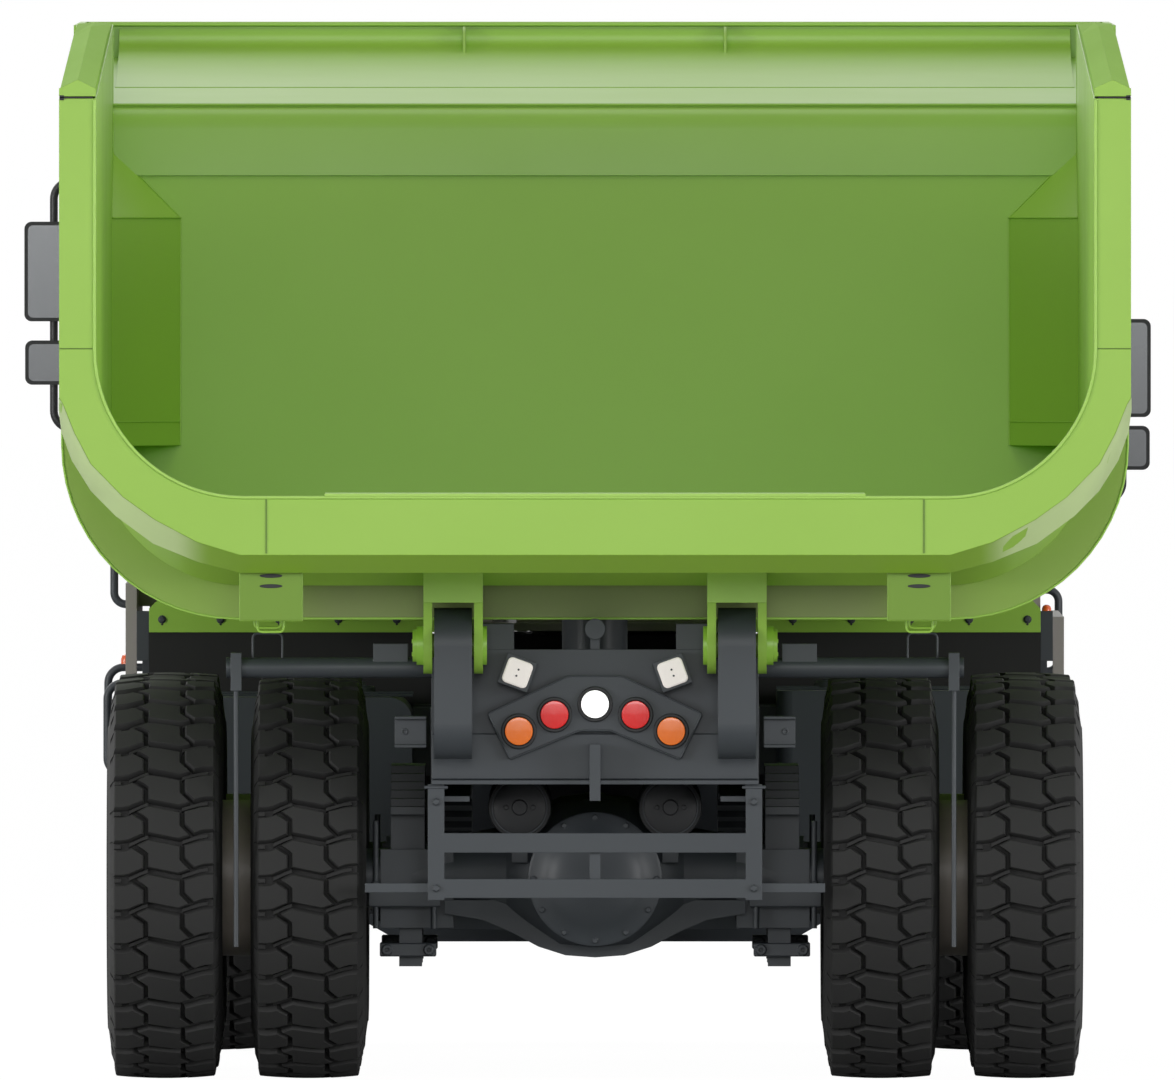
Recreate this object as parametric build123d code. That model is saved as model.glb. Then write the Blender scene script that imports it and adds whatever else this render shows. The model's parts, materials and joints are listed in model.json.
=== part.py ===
"""Mining dump truck: three axles, a half cab on the left and a steel body that tips to the rear.

Millimetres. The truck faces -Y, +X is its left side and Z is up. The origin is on the ground, midway
along the truck and on its centre line. Each sub-part has its own function, and main() writes one
STEP file a sub-part. Left-hand pieces are modelled and right-hand ones mirrored from them.
"""
from build123d import *
import math
import os

# Places along the truck
NOSE_Y = -4700.0
TAIL_Y = 4700.0
FRONT_AXLE_Y = -2750.0
MID_AXLE_Y = 1250.0
REAR_AXLE_Y = 2950.0

# Tyres and rims
TYRE_RADIUS = 746.0
TYRE_WIDTH = 432.0
TREAD_WIDTH = 370.0
TREAD_CROWN = 9.0
LUG_SIDE = 56.0
SHOULDER_DEPTH = 100.0
SIDEWALL_RADIUS = 550.0
RIM_RADIUS = 318.0
RIM_WALL = 18.0
BEAD_WIDTH = 286.0
FLANGE_HEIGHT = 28.0
FLANGE_WALL = 12.0
SPACER_RADIUS = 290.0
FRONT_WHEEL_X = 1456.0
DUAL_X = 1330.0
DUAL_SPACING = 534.0
FRONT_HUB_RADIUS = 165.0
REAR_HUB_RADIUS = 190.0
HUB_INSET = 20.0
DISC_WALL = 36.0
DRUM_WALL = 22.0
DRUM_GAP = 14.0

# Front axle, knuckles and steering
KINGPIN_X = 1190.0
KINGPIN_RADIUS = 32.0
KINGPIN_CLEARANCE = 1.0
KINGPIN_EYE_RADIUS = 75.0
KINGPIN_EYE_HEIGHT = 170.0
KNUCKLE_GAP = 10.0
LUG_HEIGHT = 55.0
LUG_WIDTH = 160.0
KNUCKLE_PLATE = 52.0
SPINDLE_RADIUS = 75.0
BEAM_WIDTH = 130.0
BEAM_DROP = 284.0
STEER_ARM = 330.0
STEER_ARM_WIDTH = 70.0
BALL_RADIUS = 45.0
TIE_ROD_RADIUS = 28.0
TIE_ROD_GAP = 8.0

# Frame
RAIL_INNER_X = 465.0
RAIL_WIDTH = 120.0
RAIL_BOTTOM_Z = 1040.0
RAIL_HEIGHT = 420.0
RAIL_WEB = 14.0
RAIL_FLANGE = 20.0
RAIL_SETBACK = 320.0
TAIL_PLATE = 40.0

# Drive axles and suspension
BANJO_RADIUS = 293.0
COVER_RADIUS = 249.0
AXLE_TUBE_RADIUS = 110.0
SPRING_INNER_X = 633.0
SPRING_WIDTH = 127.0
SPRING_BOTTOM_Z = 983.0
SPRING_LEAF = 29.0
SPRING_LEAVES = 6
TRUNNION_RADIUS = 60.0
TRUNNION_Z = 830.0
SHAFT_RADIUS = 42.0
SHAFT_Z = 960.0
GEARBOX_OUT_Z = 900.0
CHAMBER_RADIUS = 104.0

# Body hinge and hoist
PIN_Y = 3900.0
PIN_Z = 1620.0
PIN_RADIUS = 45.0
PIN_CLEARANCE = 0.5
EAR_RADIUS = 105.0
EAR_WALL = 33.0
EAR_GAP = 7.0
ARM_WIDTH = 140.0
ARM_RADIUS = 140.0
HOIST_Y = -2100.0
HOIST_BASE_Z = 1150.0
HOIST_EYE_Z = 2950.0
HOIST_EYE_RADIUS = 75.0
HOIST_EYE_WIDTH = 150.0
BARREL_RADIUS = 125.0
BARREL_TOP_Z = 2700.0
STAGE_OUTER_RADIUS = 106.0
STAGE_WALL = 14.0
STAGE_GAP = 2.0
STAGE_COUNT = 4
COLLAR_HEIGHT = 35.0
COLLAR_GAP = 5.0

# Body
BED_HALF = 1838.0
BED_SKIN = 12.0
BED_FLOOR_Z = 1854.0
BED_CORNER = 540.0
HOOP_DEPTH = 125.0
HOOP_CORNER_TRIM = 32.0
HOOP_WIDTH = 140.0
HOOP_COUNT = 7
HOOP_FIRST_Y = -1290.0
HOOP_LAST_Y = 3560.0
DUCKTAIL_Y = 3900.0
LIP_Z = 2180.0
WALL_FOOT_Y = -1500.0
WALL_TOP_Y = -1900.0
SIDE_FRONT_Z = 3925.0
SIDE_RISE = 281.0
WALL_DROP = 298.0
TOP_RAIL_HEIGHT = 160.0
RIM_DEPTH = 140.0
SKIRT_DEPTH = 100.0
PAD_X = 1078.0
PAD_WIDTH = 234.0
PAD_TOP_Z = 2071.0
SLOT_WIDTH = 85.0
SLOT_HEIGHT = 8.0
CANOPY_FRONT_Y = -4420.0
CANOPY_DROP = 120.0
CANOPY_LIP = 18.0
CANOPY_STRIP = 12.0
SIDE_PLATE = 18.0
SILL_GAP = 10.0

# Deck, cab and hood
DECK_Z = 1640.0
DECK_WALL = 30.0
BUMPER_REACH = 220.0
DECK_REAR_Y = -2300.0
DECK_HALF = 1747.0
SKIRT_WALL = 43.0
SKIRT_TOP_Z = 1796.0
SKIRT_FOOT_Z = 1420.0
RIGHT_SKIRT_Z = 1668.0
EDGE_POST_Z = 1691.0
EDGE_POST_WALL = 30.0
SKIRT_BOTTOM_Z = 1512.0
SKIRT_REAR_Y = -1880.0
CAB_RIGHT_X = 330.0
CAB_FLOOR_Z = 1700.0
CAB_HEADROOM = 207.0
CAB_LENGTH = 1700.0
CAB_WALL = 60.0
GLASS_WALL = 10.0
DOOR_SETBACK = 330.0
DOOR_WIDTH = 1100.0
DOOR_SILL_Z = 1790.0
DOOR_DROP = 130.0
DOOR_GAP = 6.0
HINGE_OFFSET = 20.0
HINGE_RADIUS = 13.0
HOOD_LEFT_X = 300.0
HOOD_SIDE_GAP = 497.0
HOOD_TOP_Z = 2110.0
HOOD_WALL = 30.0
GRILLE_BARS = 9
TUBE_RADIUS = 15.5

# Smaller fittings
HOIST_PIN_RADIUS = 35.0
TAIL_PLATE_BOTTOM_Z = 1105.0
TAIL_PLATE_TOP_Z = 1604.0
ARM_BOTTOM_Z = 1200.0
TOW_EYE_WALL = 40.0
TOW_EYE_RADIUS = 30.0
TOW_EYE_Z = 1105.0
FLAP_Y = -1820.0
GEARBOX_REAR_Y = -2450.0
BUMPER_BOTTOM_Z = 640.0
BUMPER_TOP_Z = 1140.0
LOW_BAR_HALF = 797.0
LOW_BAR_Z = 385.0
LOW_BAR_HEIGHT = 91.0
HEADLAMP_INSET = 667.0
HEADLAMP_Z = 850.0
HEADLAMP_WIDTH = 300.0
HEADLAMP_HEIGHT = 130.0
GRILLE_RIGHT_X = -440.0
GRILLE_BOTTOM_Z = 1190.0
RIGHT_RAIL_TOP_Z = 2740.0
HANDLE_OUT = 53.0
HANDLE_LOW_Z = 1706.0
HANDLE_TOP_Z = 2900.0
GRAB_Z = 1747.0
GUARD_INSET = 85.0
REAR_BOX_WIDTH = 58.0
REAR_BOX_HEIGHT = 210.0
CAMERA_Z = 1680.0
CAMERA_RADIUS = 38.0
EJECTOR_Z = 1535.0
EJECTOR_TUBE = 37.5
EJECTOR_ROD = 9.0
EJECTOR_FOOT_Z = 500.0
CLEANER_RADIUS = 165.0
CLEANER_INSET = 290.0
PANEL_INSET = 47.0
TANK_INNER_X = 690.0
MIRROR_OUT = 414.0
CAB_RAKE = 220.0
WINDSCREEN_FOOT_Z = 2280.0
WINDSCREEN_LOW_Z = 2340.0
WINDSCREEN_DROP = 160.0
DOOR_GLASS_Z = 2380.0

# Worked out from the sizes above
SIDE_REAR_Z = SIDE_FRONT_Z - SIDE_RISE
WALL_TOP_Z = SIDE_FRONT_Z - WALL_DROP
CANOPY_FRONT_Z = SIDE_FRONT_Z - CANOPY_DROP
CANOPY_LIP_Z = SIDE_FRONT_Z + CANOPY_LIP
DECK_FRONT_Y = NOSE_Y + BUMPER_REACH
RAIL_FRONT_Y = NOSE_Y + RAIL_SETBACK
CAB_LEFT_X = DECK_HALF + SKIRT_WALL
CAB_ROOF_Z = WALL_TOP_Z - CAB_HEADROOM
CAB_FRONT_Y = DECK_FRONT_Y
CAB_REAR_Y = CAB_FRONT_Y + CAB_LENGTH
DOOR_FRONT_Y = CAB_FRONT_Y + DOOR_SETBACK
DOOR_REAR_Y = DOOR_FRONT_Y + DOOR_WIDTH
DOOR_TOP_Z = CAB_ROOF_Z - DOOR_DROP
WINDSCREEN_HIGH_Z = CAB_ROOF_Z - WINDSCREEN_DROP
HOOD_RIGHT_X = HOOD_SIDE_GAP - DECK_HALF
HEADLAMP_X = DECK_HALF - HEADLAMP_INSET
PANEL_X = DECK_HALF - PANEL_INSET
AXLE_Z = TYRE_RADIUS
RAIL_OUTER_X = RAIL_INNER_X + RAIL_WIDTH
RAIL_TOP_Z = RAIL_BOTTOM_Z + RAIL_HEIGHT
BOGIE_Y = (MID_AXLE_Y + REAR_AXLE_Y) / 2
ARM_INNER_X = (RAIL_INNER_X + RAIL_OUTER_X - ARM_WIDTH) / 2
TAIL_FACE_Y = PIN_Y - EAR_RADIUS - 15
RAIL_REAR_Y = TAIL_FACE_Y - TAIL_PLATE
BED_OUTER = BED_HALF + BED_SKIN
HOOP_HALF = BED_OUTER + HOOP_DEPTH
BED_UNDER_Z = BED_FLOOR_Z - BED_SKIN
HOOP_UNDER_Z = BED_UNDER_Z - HOOP_DEPTH
WALL_LEAN = (WALL_TOP_Y - WALL_FOOT_Y) / (WALL_TOP_Z - BED_UNDER_Z)
RAIL_RISE = (SIDE_FRONT_Z - SIDE_REAR_Z) / (TAIL_Y - WALL_TOP_Y)
GUARD_Y = RAIL_REAR_Y
AXLE_REACH = DUAL_X - DUAL_SPACING / 2 + BEAD_WIDTH / 4 - 2 * HUB_INSET
SIDES = (1, -1)


def block(x0, x1, y0, y1, z0, z1):
    """Box between two corners."""
    centre = Pos((x0 + x1) / 2, (y0 + y1) / 2, (z0 + z1) / 2)
    return centre * Box(abs(x1 - x0), abs(y1 - y0), abs(z1 - z0))


def prism(outline, axis, start, end):
    """Outline in the plane square to the axis, made solid from start to end along it."""
    place = {"X": lambda a, b: (start, a, b), "Y": lambda a, b: (a, start, b), "Z": lambda a, b: (a, b, start)}
    direction = {"X": (1, 0, 0), "Y": (0, 1, 0), "Z": (0, 0, 1)}
    corners = [place[axis](a, b) for a, b in outline]
    face = make_face(Polyline(*corners, close=True))
    return extrude(face, amount=end - start, dir=direction[axis])


def rod(axis, radius, start, end, a, b):
    """Round bar along an axis from start to end; a and b place it in the plane square to the axis."""
    middle = (start + end) / 2
    turn = {"X": Rot(0, 90, 0), "Y": Rot(90, 0, 0), "Z": Rot(0, 0, 0)}
    place = {"X": (middle, a, b), "Y": (a, middle, b), "Z": (a, b, middle)}
    return Pos(*place[axis]) * turn[axis] * Cylinder(radius, abs(end - start))


def strut(start, end, radius):
    """Round bar between two points."""
    line = Line(start, end)
    return sweep(Plane(origin=line @ 0, z_dir=line % 0) * Circle(radius), path=line)


def pipe(points, radius, bend):
    """Round tube along straight runs joined by arcs of one bend radius."""
    path = FilletPolyline(*points, radius=bend)
    return sweep(Plane(origin=path @ 0, z_dir=path % 0) * Circle(radius), path=path)


def both_sides(shape):
    """A left-hand shape with its mirror image on the right."""
    return [shape, mirror(shape, about=Plane.YZ)]


def sided(shape, side):
    """A left-hand shape as it is, or mirrored for the right side."""
    return shape if side > 0 else mirror(shape, about=Plane.YZ)


def fuse(*groups):
    """One shape out of single shapes and lists of shapes."""
    pieces = []
    for group in groups:
        pieces.extend(group if isinstance(group, (list, tuple)) else [group])
    return pieces[0].fuse(*pieces[1:]) if len(pieces) > 1 else pieces[0]


def turned(profile, x):
    """Profile of (x, radius) points revolved about the X axis and moved to x and to the axle's height."""
    face = make_face(Polyline(*[(along, 0, -radius) for along, radius in profile], close=True))
    return Pos(x, 0, AXLE_Z) * revolve(face, axis=Axis.X)


# ---------------------------------------------------------------- wheels
def tyre(x):
    """Tyre centred at x, solid out to the tips of its lugs, its beads between the rim's flanges."""
    bead = BEAD_WIDTH / 2
    side = [
        (bead, RIM_RADIUS),
        (bead, RIM_RADIUS + FLANGE_HEIGHT),
        (TYRE_WIDTH / 2, SIDEWALL_RADIUS),
        (TYRE_WIDTH / 2 - 12, TYRE_RADIUS - SHOULDER_DEPTH),
        (TREAD_WIDTH / 2 + 4, TYRE_RADIUS - LUG_SIDE),
        (TREAD_WIDTH / 2, TYRE_RADIUS - TREAD_CROWN),
        (TREAD_WIDTH / 4, TYRE_RADIUS),
    ]
    return turned(side + [(-along, radius) for along, radius in reversed(side)], x)


def rim_seat(centre):
    """Outside of one rim, from its outboard flange to its inboard one, as (x, radius) points."""
    bead = BEAD_WIDTH / 2
    edge = bead + FLANGE_WALL
    lip = RIM_RADIUS + FLANGE_HEIGHT
    points = [(edge, lip), (bead, lip), (bead, RIM_RADIUS), (-bead, RIM_RADIUS), (-bead, lip), (-edge, lip)]
    return [(centre + along, radius) for along, radius in points]


def wheel_profile(centres, disc_out, disc_in, hub_radius):
    """Section of rims, disc, hub and brake drum as one turned piece, outboard end first."""
    bead_edge = BEAD_WIDTH / 2 + FLANGE_WALL
    outer_edge = centres[0] + bead_edge
    inner_edge = centres[-1] - bead_edge
    inside = RIM_RADIUS - RIM_WALL
    drum = inside - DRUM_GAP
    hub_out = outer_edge - HUB_INSET
    points = [(hub_out, 0), (hub_out, hub_radius), (disc_out, hub_radius), (disc_out, inside), (outer_edge, inside)]
    points += rim_seat(centres[0])
    if len(centres) > 1:
        points += [(centres[0] - bead_edge, SPACER_RADIUS), (centres[1] + bead_edge, SPACER_RADIUS)]
        points += rim_seat(centres[1])
    points += [(inner_edge, inside), (disc_in, inside), (disc_in, drum), (inner_edge + DRUM_GAP, drum)]
    points += [(inner_edge + DRUM_GAP, drum - DRUM_WALL), (disc_in, drum - DRUM_WALL), (disc_in, 0)]
    return points


def front_rim():
    """Left front rim with its disc, hub and brake drum."""
    disc_out = BEAD_WIDTH / 4
    profile = wheel_profile([0.0], disc_out, disc_out - DISC_WALL, FRONT_HUB_RADIUS)
    return Pos(0, FRONT_AXLE_Y, 0) * turned(profile, FRONT_WHEEL_X)


def dual_rims(axle_y):
    """Left pair of rims on one hub, with the spacer band between them."""
    half = DUAL_SPACING / 2
    disc_out = half - BEAD_WIDTH / 4
    profile = wheel_profile([half, -half], disc_out, -half + BEAD_WIDTH / 4, REAR_HUB_RADIUS)
    return Pos(0, axle_y, 0) * turned(profile, DUAL_X)


def dual_tyres(axle_y):
    """Left pair of tyres."""
    half = DUAL_SPACING / 2
    return [Pos(0, axle_y, 0) * tyre(DUAL_X + offset) for offset in (half, -half)]


def wheels():
    """Tyres and rims of the six wheel bodies, by node name."""
    nodes = {}
    for side, hand in ((1, "left"), (-1, "right")):
        nodes[f"tyre_front_{hand}"] = [sided(Pos(0, FRONT_AXLE_Y, 0) * tyre(FRONT_WHEEL_X), side)]
        nodes[f"rim_front_{hand}"] = [sided(front_rim(), side)]
        for place, axle_y in (("mid", MID_AXLE_Y), ("rear", REAR_AXLE_Y)):
            nodes[f"tyres_{place}_{hand}"] = [sided(one, side) for one in dual_tyres(axle_y)]
            nodes[f"rims_{place}_{hand}"] = [sided(dual_rims(axle_y), side)]
    return nodes


# ---------------------------------------------------------------- front axle and steering
def front_axle_beam():
    """Dropped forged beam with an eye for the kingpin at each end."""
    half = BEAM_WIDTH / 2
    low = AXLE_Z - BEAM_DROP
    eye_half = KINGPIN_EYE_HEIGHT / 2
    outline = [(0, low), (560, low), (760, AXLE_Z - 120), (860, AXLE_Z - 66), (KINGPIN_X, AXLE_Z - 66), (KINGPIN_X, AXLE_Z + 66),
               (700, AXLE_Z + 66), (620, AXLE_Z + 54), (430, AXLE_Z + 54), (330, low + 130), (0, low + 130)]
    beam = prism(outline, "Y", FRONT_AXLE_Y - half, FRONT_AXLE_Y + half)
    eye = rod("Z", KINGPIN_EYE_RADIUS, AXLE_Z - eye_half, AXLE_Z + eye_half, KINGPIN_X, FRONT_AXLE_Y)
    bore_radius = KINGPIN_RADIUS + KINGPIN_CLEARANCE
    bore = rod("Z", bore_radius, AXLE_Z - 2 * eye_half, AXLE_Z + 2 * eye_half, KINGPIN_X, FRONT_AXLE_Y)
    return [fuse(both_sides(beam.fuse(eye) - bore))]


def knuckle():
    """Left steering knuckle: two lugs about the beam's eye, kingpin, spindle and steering arm."""
    lug_in = KINGPIN_EYE_HEIGHT / 2 + KNUCKLE_GAP
    lug_out = lug_in + LUG_HEIGHT
    plate_x = KINGPIN_X + KINGPIN_EYE_RADIUS + KNUCKLE_GAP - 3
    plate_out = plate_x + KNUCKLE_PLATE
    half = LUG_WIDTH / 2
    lugs = [
        block(KINGPIN_X - 70, plate_out, FRONT_AXLE_Y - half, FRONT_AXLE_Y + half, AXLE_Z + z0, AXLE_Z + z1)
        for z0, z1 in ((lug_in, lug_out), (-lug_out, -lug_in))
    ]
    plate = block(plate_x, plate_out, FRONT_AXLE_Y - 110, FRONT_AXLE_Y + 110, AXLE_Z - lug_out, AXLE_Z + lug_out)
    pin = rod("Z", KINGPIN_RADIUS, AXLE_Z - lug_out, AXLE_Z + lug_out, KINGPIN_X, FRONT_AXLE_Y)
    spindle_end = FRONT_WHEEL_X + BEAD_WIDTH / 4 - DISC_WALL - KNUCKLE_GAP
    spindle = rod("X", SPINDLE_RADIUS, plate_out, spindle_end, FRONT_AXLE_Y, AXLE_Z)
    arm_top = AXLE_Z - lug_in
    arm_x = KINGPIN_X - STEER_ARM_WIDTH / 2
    ball_y = FRONT_AXLE_Y + STEER_ARM
    arm = block(arm_x, arm_x + STEER_ARM_WIDTH, FRONT_AXLE_Y + half, ball_y, arm_top - LUG_HEIGHT, arm_top)
    ball = rod("Z", BALL_RADIUS, arm_top - LUG_HEIGHT, arm_top, KINGPIN_X, ball_y)
    return fuse(lugs, plate, pin, spindle, arm, ball)


def tie_rod():
    """Rod below the two steering arms' ends, with a round end under each."""
    top = AXLE_Z - KINGPIN_EYE_HEIGHT / 2 - KNUCKLE_GAP - LUG_HEIGHT - TIE_ROD_GAP
    ball_y = FRONT_AXLE_Y + STEER_ARM
    end_height = 2 * TIE_ROD_RADIUS + 14
    ends = both_sides(rod("Z", BALL_RADIUS, top - end_height, top, KINGPIN_X, ball_y))
    bar = rod("X", TIE_ROD_RADIUS, -KINGPIN_X, KINGPIN_X, ball_y, top - end_height / 2)
    return [fuse(ends, bar)]


# ---------------------------------------------------------------- drive axles and suspension
def drive_axle(axle_y):
    """Banjo housing with its cover, tubes, spring saddles and the brackets under them."""
    half = [(0, BANJO_RADIUS), (130, BANJO_RADIUS - 12), (330, 170), (526, AXLE_TUBE_RADIUS + 25),
            (800, AXLE_TUBE_RADIUS), (AXLE_REACH, AXLE_TUBE_RADIUS), (AXLE_REACH, 0)]
    profile = half + [(-along, radius) for along, radius in reversed(half[1:])]
    housing = Pos(0, axle_y, 0) * turned(profile, 0)
    cover = rod("Y", COVER_RADIUS, axle_y, axle_y + 300, 0, AXLE_Z)
    nose = rod("Y", 120, axle_y - 380, axle_y, 0, SHAFT_Z - 40)
    saddle_x = SPRING_INNER_X - 107
    saddles = both_sides(block(saddle_x, saddle_x + 272, axle_y - 120, axle_y + 120, AXLE_Z - 185, AXLE_Z + 108))
    slipper_x = SPRING_INNER_X
    slippers = both_sides(block(slipper_x, slipper_x + SPRING_WIDTH, axle_y - 90, axle_y + 90, AXLE_Z + 108,
                                SPRING_BOTTOM_Z))
    feet_x = SPRING_INNER_X + 10
    feet = both_sides(block(feet_x, feet_x + 85, axle_y - 80, axle_y + 80, AXLE_Z - 328, AXLE_Z - 185))
    return housing.fuse(cover, nose, *saddles, *slippers, *feet)


def brake_chambers(axle_y):
    """Pair of round brake chambers behind an axle, each on its bracket."""
    chamber = rod("Y", CHAMBER_RADIUS, axle_y + 200, axle_y + 380, 280, 1013)
    bracket = block(250, 310, axle_y + 60, axle_y + 220, AXLE_Z + 60, 1013)
    return both_sides(chamber.fuse(bracket))


def drive_axles():
    """Both drive axles with brake chambers, torque rods and the shafts that drive them."""
    rod_z = AXLE_Z - 256
    rod_x = SPRING_INNER_X + 52
    solids = []
    for axle_y, toward in ((MID_AXLE_Y, 1), (REAR_AXLE_Y, -1)):
        link = both_sides(rod("Y", 38, axle_y + toward * 70, BOGIE_Y - toward * 60, rod_x, rod_z))
        solids.append(drive_axle(axle_y).fuse(*brake_chambers(axle_y), *link))
    middle = strut((0, MID_AXLE_Y + 40, SHAFT_Z), (0, REAR_AXLE_Y - 300, SHAFT_Z), SHAFT_RADIUS)
    front = strut((0, GEARBOX_REAR_Y + 20, GEARBOX_OUT_Z), (0, MID_AXLE_Y - 300, SHAFT_Z), SHAFT_RADIUS)
    flange = rod("Y", 90, GEARBOX_REAR_Y, GEARBOX_REAR_Y + 40, 0, GEARBOX_OUT_Z)
    return [fuse(solids, middle, front, flange)]


def rear_springs():
    """Left and right leaf packs of the bogie, longest leaf lowest, each clamped at the trunnion."""
    packs = []
    for leaf in range(SPRING_LEAVES):
        reach = (REAR_AXLE_Y - MID_AXLE_Y) / 2 + 150 - leaf * 130
        z0 = SPRING_BOTTOM_Z + leaf * SPRING_LEAF
        packs.append(block(SPRING_INNER_X, SPRING_INNER_X + SPRING_WIDTH, BOGIE_Y - reach, BOGIE_Y + reach, z0,
                           z0 + SPRING_LEAF))
    return both_sides(fuse(packs))


def front_springs():
    """Left and right arched packs between the front beam and hangers under the rails."""
    seat_z = AXLE_Z + 54
    rise = 100.0
    reach = 800.0
    leaves = 5
    leaf = 24.0
    top_z = seat_z + leaves * leaf
    radius = (reach**2 + rise**2) / (2 * rise)
    centre_z = top_z + radius
    solids = []
    for count in range(leaves):
        inner = radius + count * leaf
        angle = (reach - count * 110) / radius
        ends = []
        for size in (inner, inner + leaf):
            dy, dz = size * math.sin(angle), centre_z - size * math.cos(angle)
            ends.append(ThreePointArc((RAIL_INNER_X + 5, FRONT_AXLE_Y - dy, dz),
                                      (RAIL_INNER_X + 5, FRONT_AXLE_Y, centre_z - size),
                                      (RAIL_INNER_X + 5, FRONT_AXLE_Y + dy, dz)))
        top, under = ends
        face = make_face([top, under, Line(top @ 0, under @ 0), Line(top @ 1, under @ 1)])
        solids.append(extrude(face, amount=RAIL_WIDTH - 10, dir=(1, 0, 0)))
    clamp = block(RAIL_INNER_X + 5, RAIL_OUTER_X - 5, FRONT_AXLE_Y - 90, FRONT_AXLE_Y + 90, seat_z, top_z + 40)
    hangers = [block(RAIL_INNER_X + 15, RAIL_OUTER_X - 15, y - 45, y + 45, RAIL_BOTTOM_Z - 60, RAIL_BOTTOM_Z)
               for y in (FRONT_AXLE_Y - reach, FRONT_AXLE_Y + reach)]
    return both_sides(fuse(solids, clamp, hangers))


# ---------------------------------------------------------------- frame
def chassis_frame():
    """Channel rails, crossmembers, bogie trunnion with its brackets and the hoist's carrier."""
    rail = block(RAIL_INNER_X, RAIL_OUTER_X, RAIL_FRONT_Y, RAIL_REAR_Y, RAIL_BOTTOM_Z, RAIL_TOP_Z)
    channel = block(RAIL_INNER_X, RAIL_OUTER_X - RAIL_WEB, RAIL_FRONT_Y, RAIL_REAR_Y,
                    RAIL_BOTTOM_Z + RAIL_FLANGE, RAIL_TOP_Z - RAIL_FLANGE)
    rails = both_sides(rail - channel)
    web = RAIL_OUTER_X - RAIL_WEB
    low = RAIL_BOTTOM_Z + RAIL_FLANGE
    top = RAIL_TOP_Z - RAIL_FLANGE
    # y, depth along the truck, bottom, top
    crossmembers = [
        (RAIL_FRONT_Y + 90, 120, low, low + 160),
        (HOIST_Y - 290, 60, low, top),
        (HOIST_Y + 330, 60, low, top),
        (0, 160, low + 90, top),
        (BOGIE_Y, 260, low + 90, top),
        (RAIL_REAR_Y - 250, 140, low + 90, top),
    ]
    beams = [block(-web, web, y - depth / 2, y + depth / 2, z0, z1) for y, depth, z0, z1 in crossmembers]
    plate = block(RAIL_OUTER_X, RAIL_OUTER_X + 30, BOGIE_Y - 220, BOGIE_Y + 220, TRUNNION_Z - 90, RAIL_TOP_Z - 90)
    seat = block(SPRING_INNER_X, SPRING_INNER_X + SPRING_WIDTH, BOGIE_Y - 130, BOGIE_Y + 130, TRUNNION_Z - 70,
                 SPRING_BOTTOM_Z)
    tube = rod("X", TRUNNION_RADIUS, 0, SPRING_INNER_X + SPRING_WIDTH + 20, BOGIE_Y, TRUNNION_Z)
    foot_x = SPRING_INNER_X + 10
    foot = block(foot_x, foot_x + 85, BOGIE_Y - 60, BOGIE_Y + 60, AXLE_Z - 328, TRUNNION_Z - 70)
    carrier = block(BARREL_RADIUS + 40, BARREL_RADIUS + 70, HOIST_Y - 260, HOIST_Y + 300, low, HOIST_BASE_Z + 60)
    carrier -= rod("X", HOIST_PIN_RADIUS + PIN_CLEARANCE, 0, 2 * BARREL_RADIUS, HOIST_Y, HOIST_BASE_Z)
    return [fuse(rails, beams, *(both_sides(one) for one in (plate, seat, tube, foot, carrier)))]


def tail_crossmember():
    """Upright plate across the rails' ends with the two arms that carry the body's hinge pins."""
    half = RAIL_OUTER_X + 21
    plate = block(-half, half, RAIL_REAR_Y, TAIL_FACE_Y, TAIL_PLATE_BOTTOM_Z, TAIL_PLATE_TOP_Z)
    lip = block(-half, half, TAIL_FACE_Y, TAIL_FACE_Y + 40, TAIL_PLATE_BOTTOM_Z, TAIL_PLATE_BOTTOM_Z + 15)
    x0, x1 = ARM_INNER_X, ARM_INNER_X + ARM_WIDTH
    head = rod("X", ARM_RADIUS, x0, x1, PIN_Y, PIN_Z)
    toe_radius = (PIN_Y + ARM_RADIUS - TAIL_FACE_Y) / 2
    toe = rod("X", toe_radius, x0, x1, TAIL_FACE_Y + toe_radius, ARM_BOTTOM_Z + toe_radius)
    body = block(x0, x1, TAIL_FACE_Y, PIN_Y + ARM_RADIUS, ARM_BOTTOM_Z + toe_radius, PIN_Z)
    bore = rod("X", PIN_RADIUS + PIN_CLEARANCE, x0 - 10, x1 + 10, PIN_Y, PIN_Z)
    arms = both_sides(head.fuse(toe, body) - bore)
    eye_x = TOW_EYE_WALL / 2
    eye = prism([(-eye_x, TOW_EYE_Z - 60), (eye_x, TOW_EYE_Z - 60), (eye_x, TAIL_PLATE_BOTTOM_Z + 150),
                 (-eye_x, TAIL_PLATE_BOTTOM_Z + 150)], "Y", TAIL_FACE_Y, TAIL_FACE_Y + 120)
    eye -= rod("X", TOW_EYE_RADIUS, -TOW_EYE_WALL, TOW_EYE_WALL, TAIL_FACE_Y + 70, TOW_EYE_Z)
    camera = rod("Y", CAMERA_RADIUS, RAIL_REAR_Y, TAIL_FACE_Y + 25, 0, CAMERA_Z)
    bracket = block(-18, 18, RAIL_REAR_Y + 8, TAIL_FACE_Y - 8, TAIL_PLATE_TOP_Z, CAMERA_Z)
    return [plate.fuse(lip, eye, camera, bracket, *arms)]


def underrun_guard():
    """Two posts below the tail plate with two bars across them and short side bars."""
    post = block(558, 619, GUARD_Y, GUARD_Y + 60, 676, TAIL_PLATE_BOTTOM_Z)
    ear = block(619, 852, GUARD_Y, GUARD_Y + 30, 704, 738)
    bars = [block(-558, 558, GUARD_Y, GUARD_Y + 60, z0, z1) for z0, z1 in ((852, 924), (684, 754))]
    tab = block(-20, 20, GUARD_Y + 20, GUARD_Y + 40, 754, 852)
    return [fuse(both_sides(post), both_sides(ear), bars, tab)]


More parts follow.
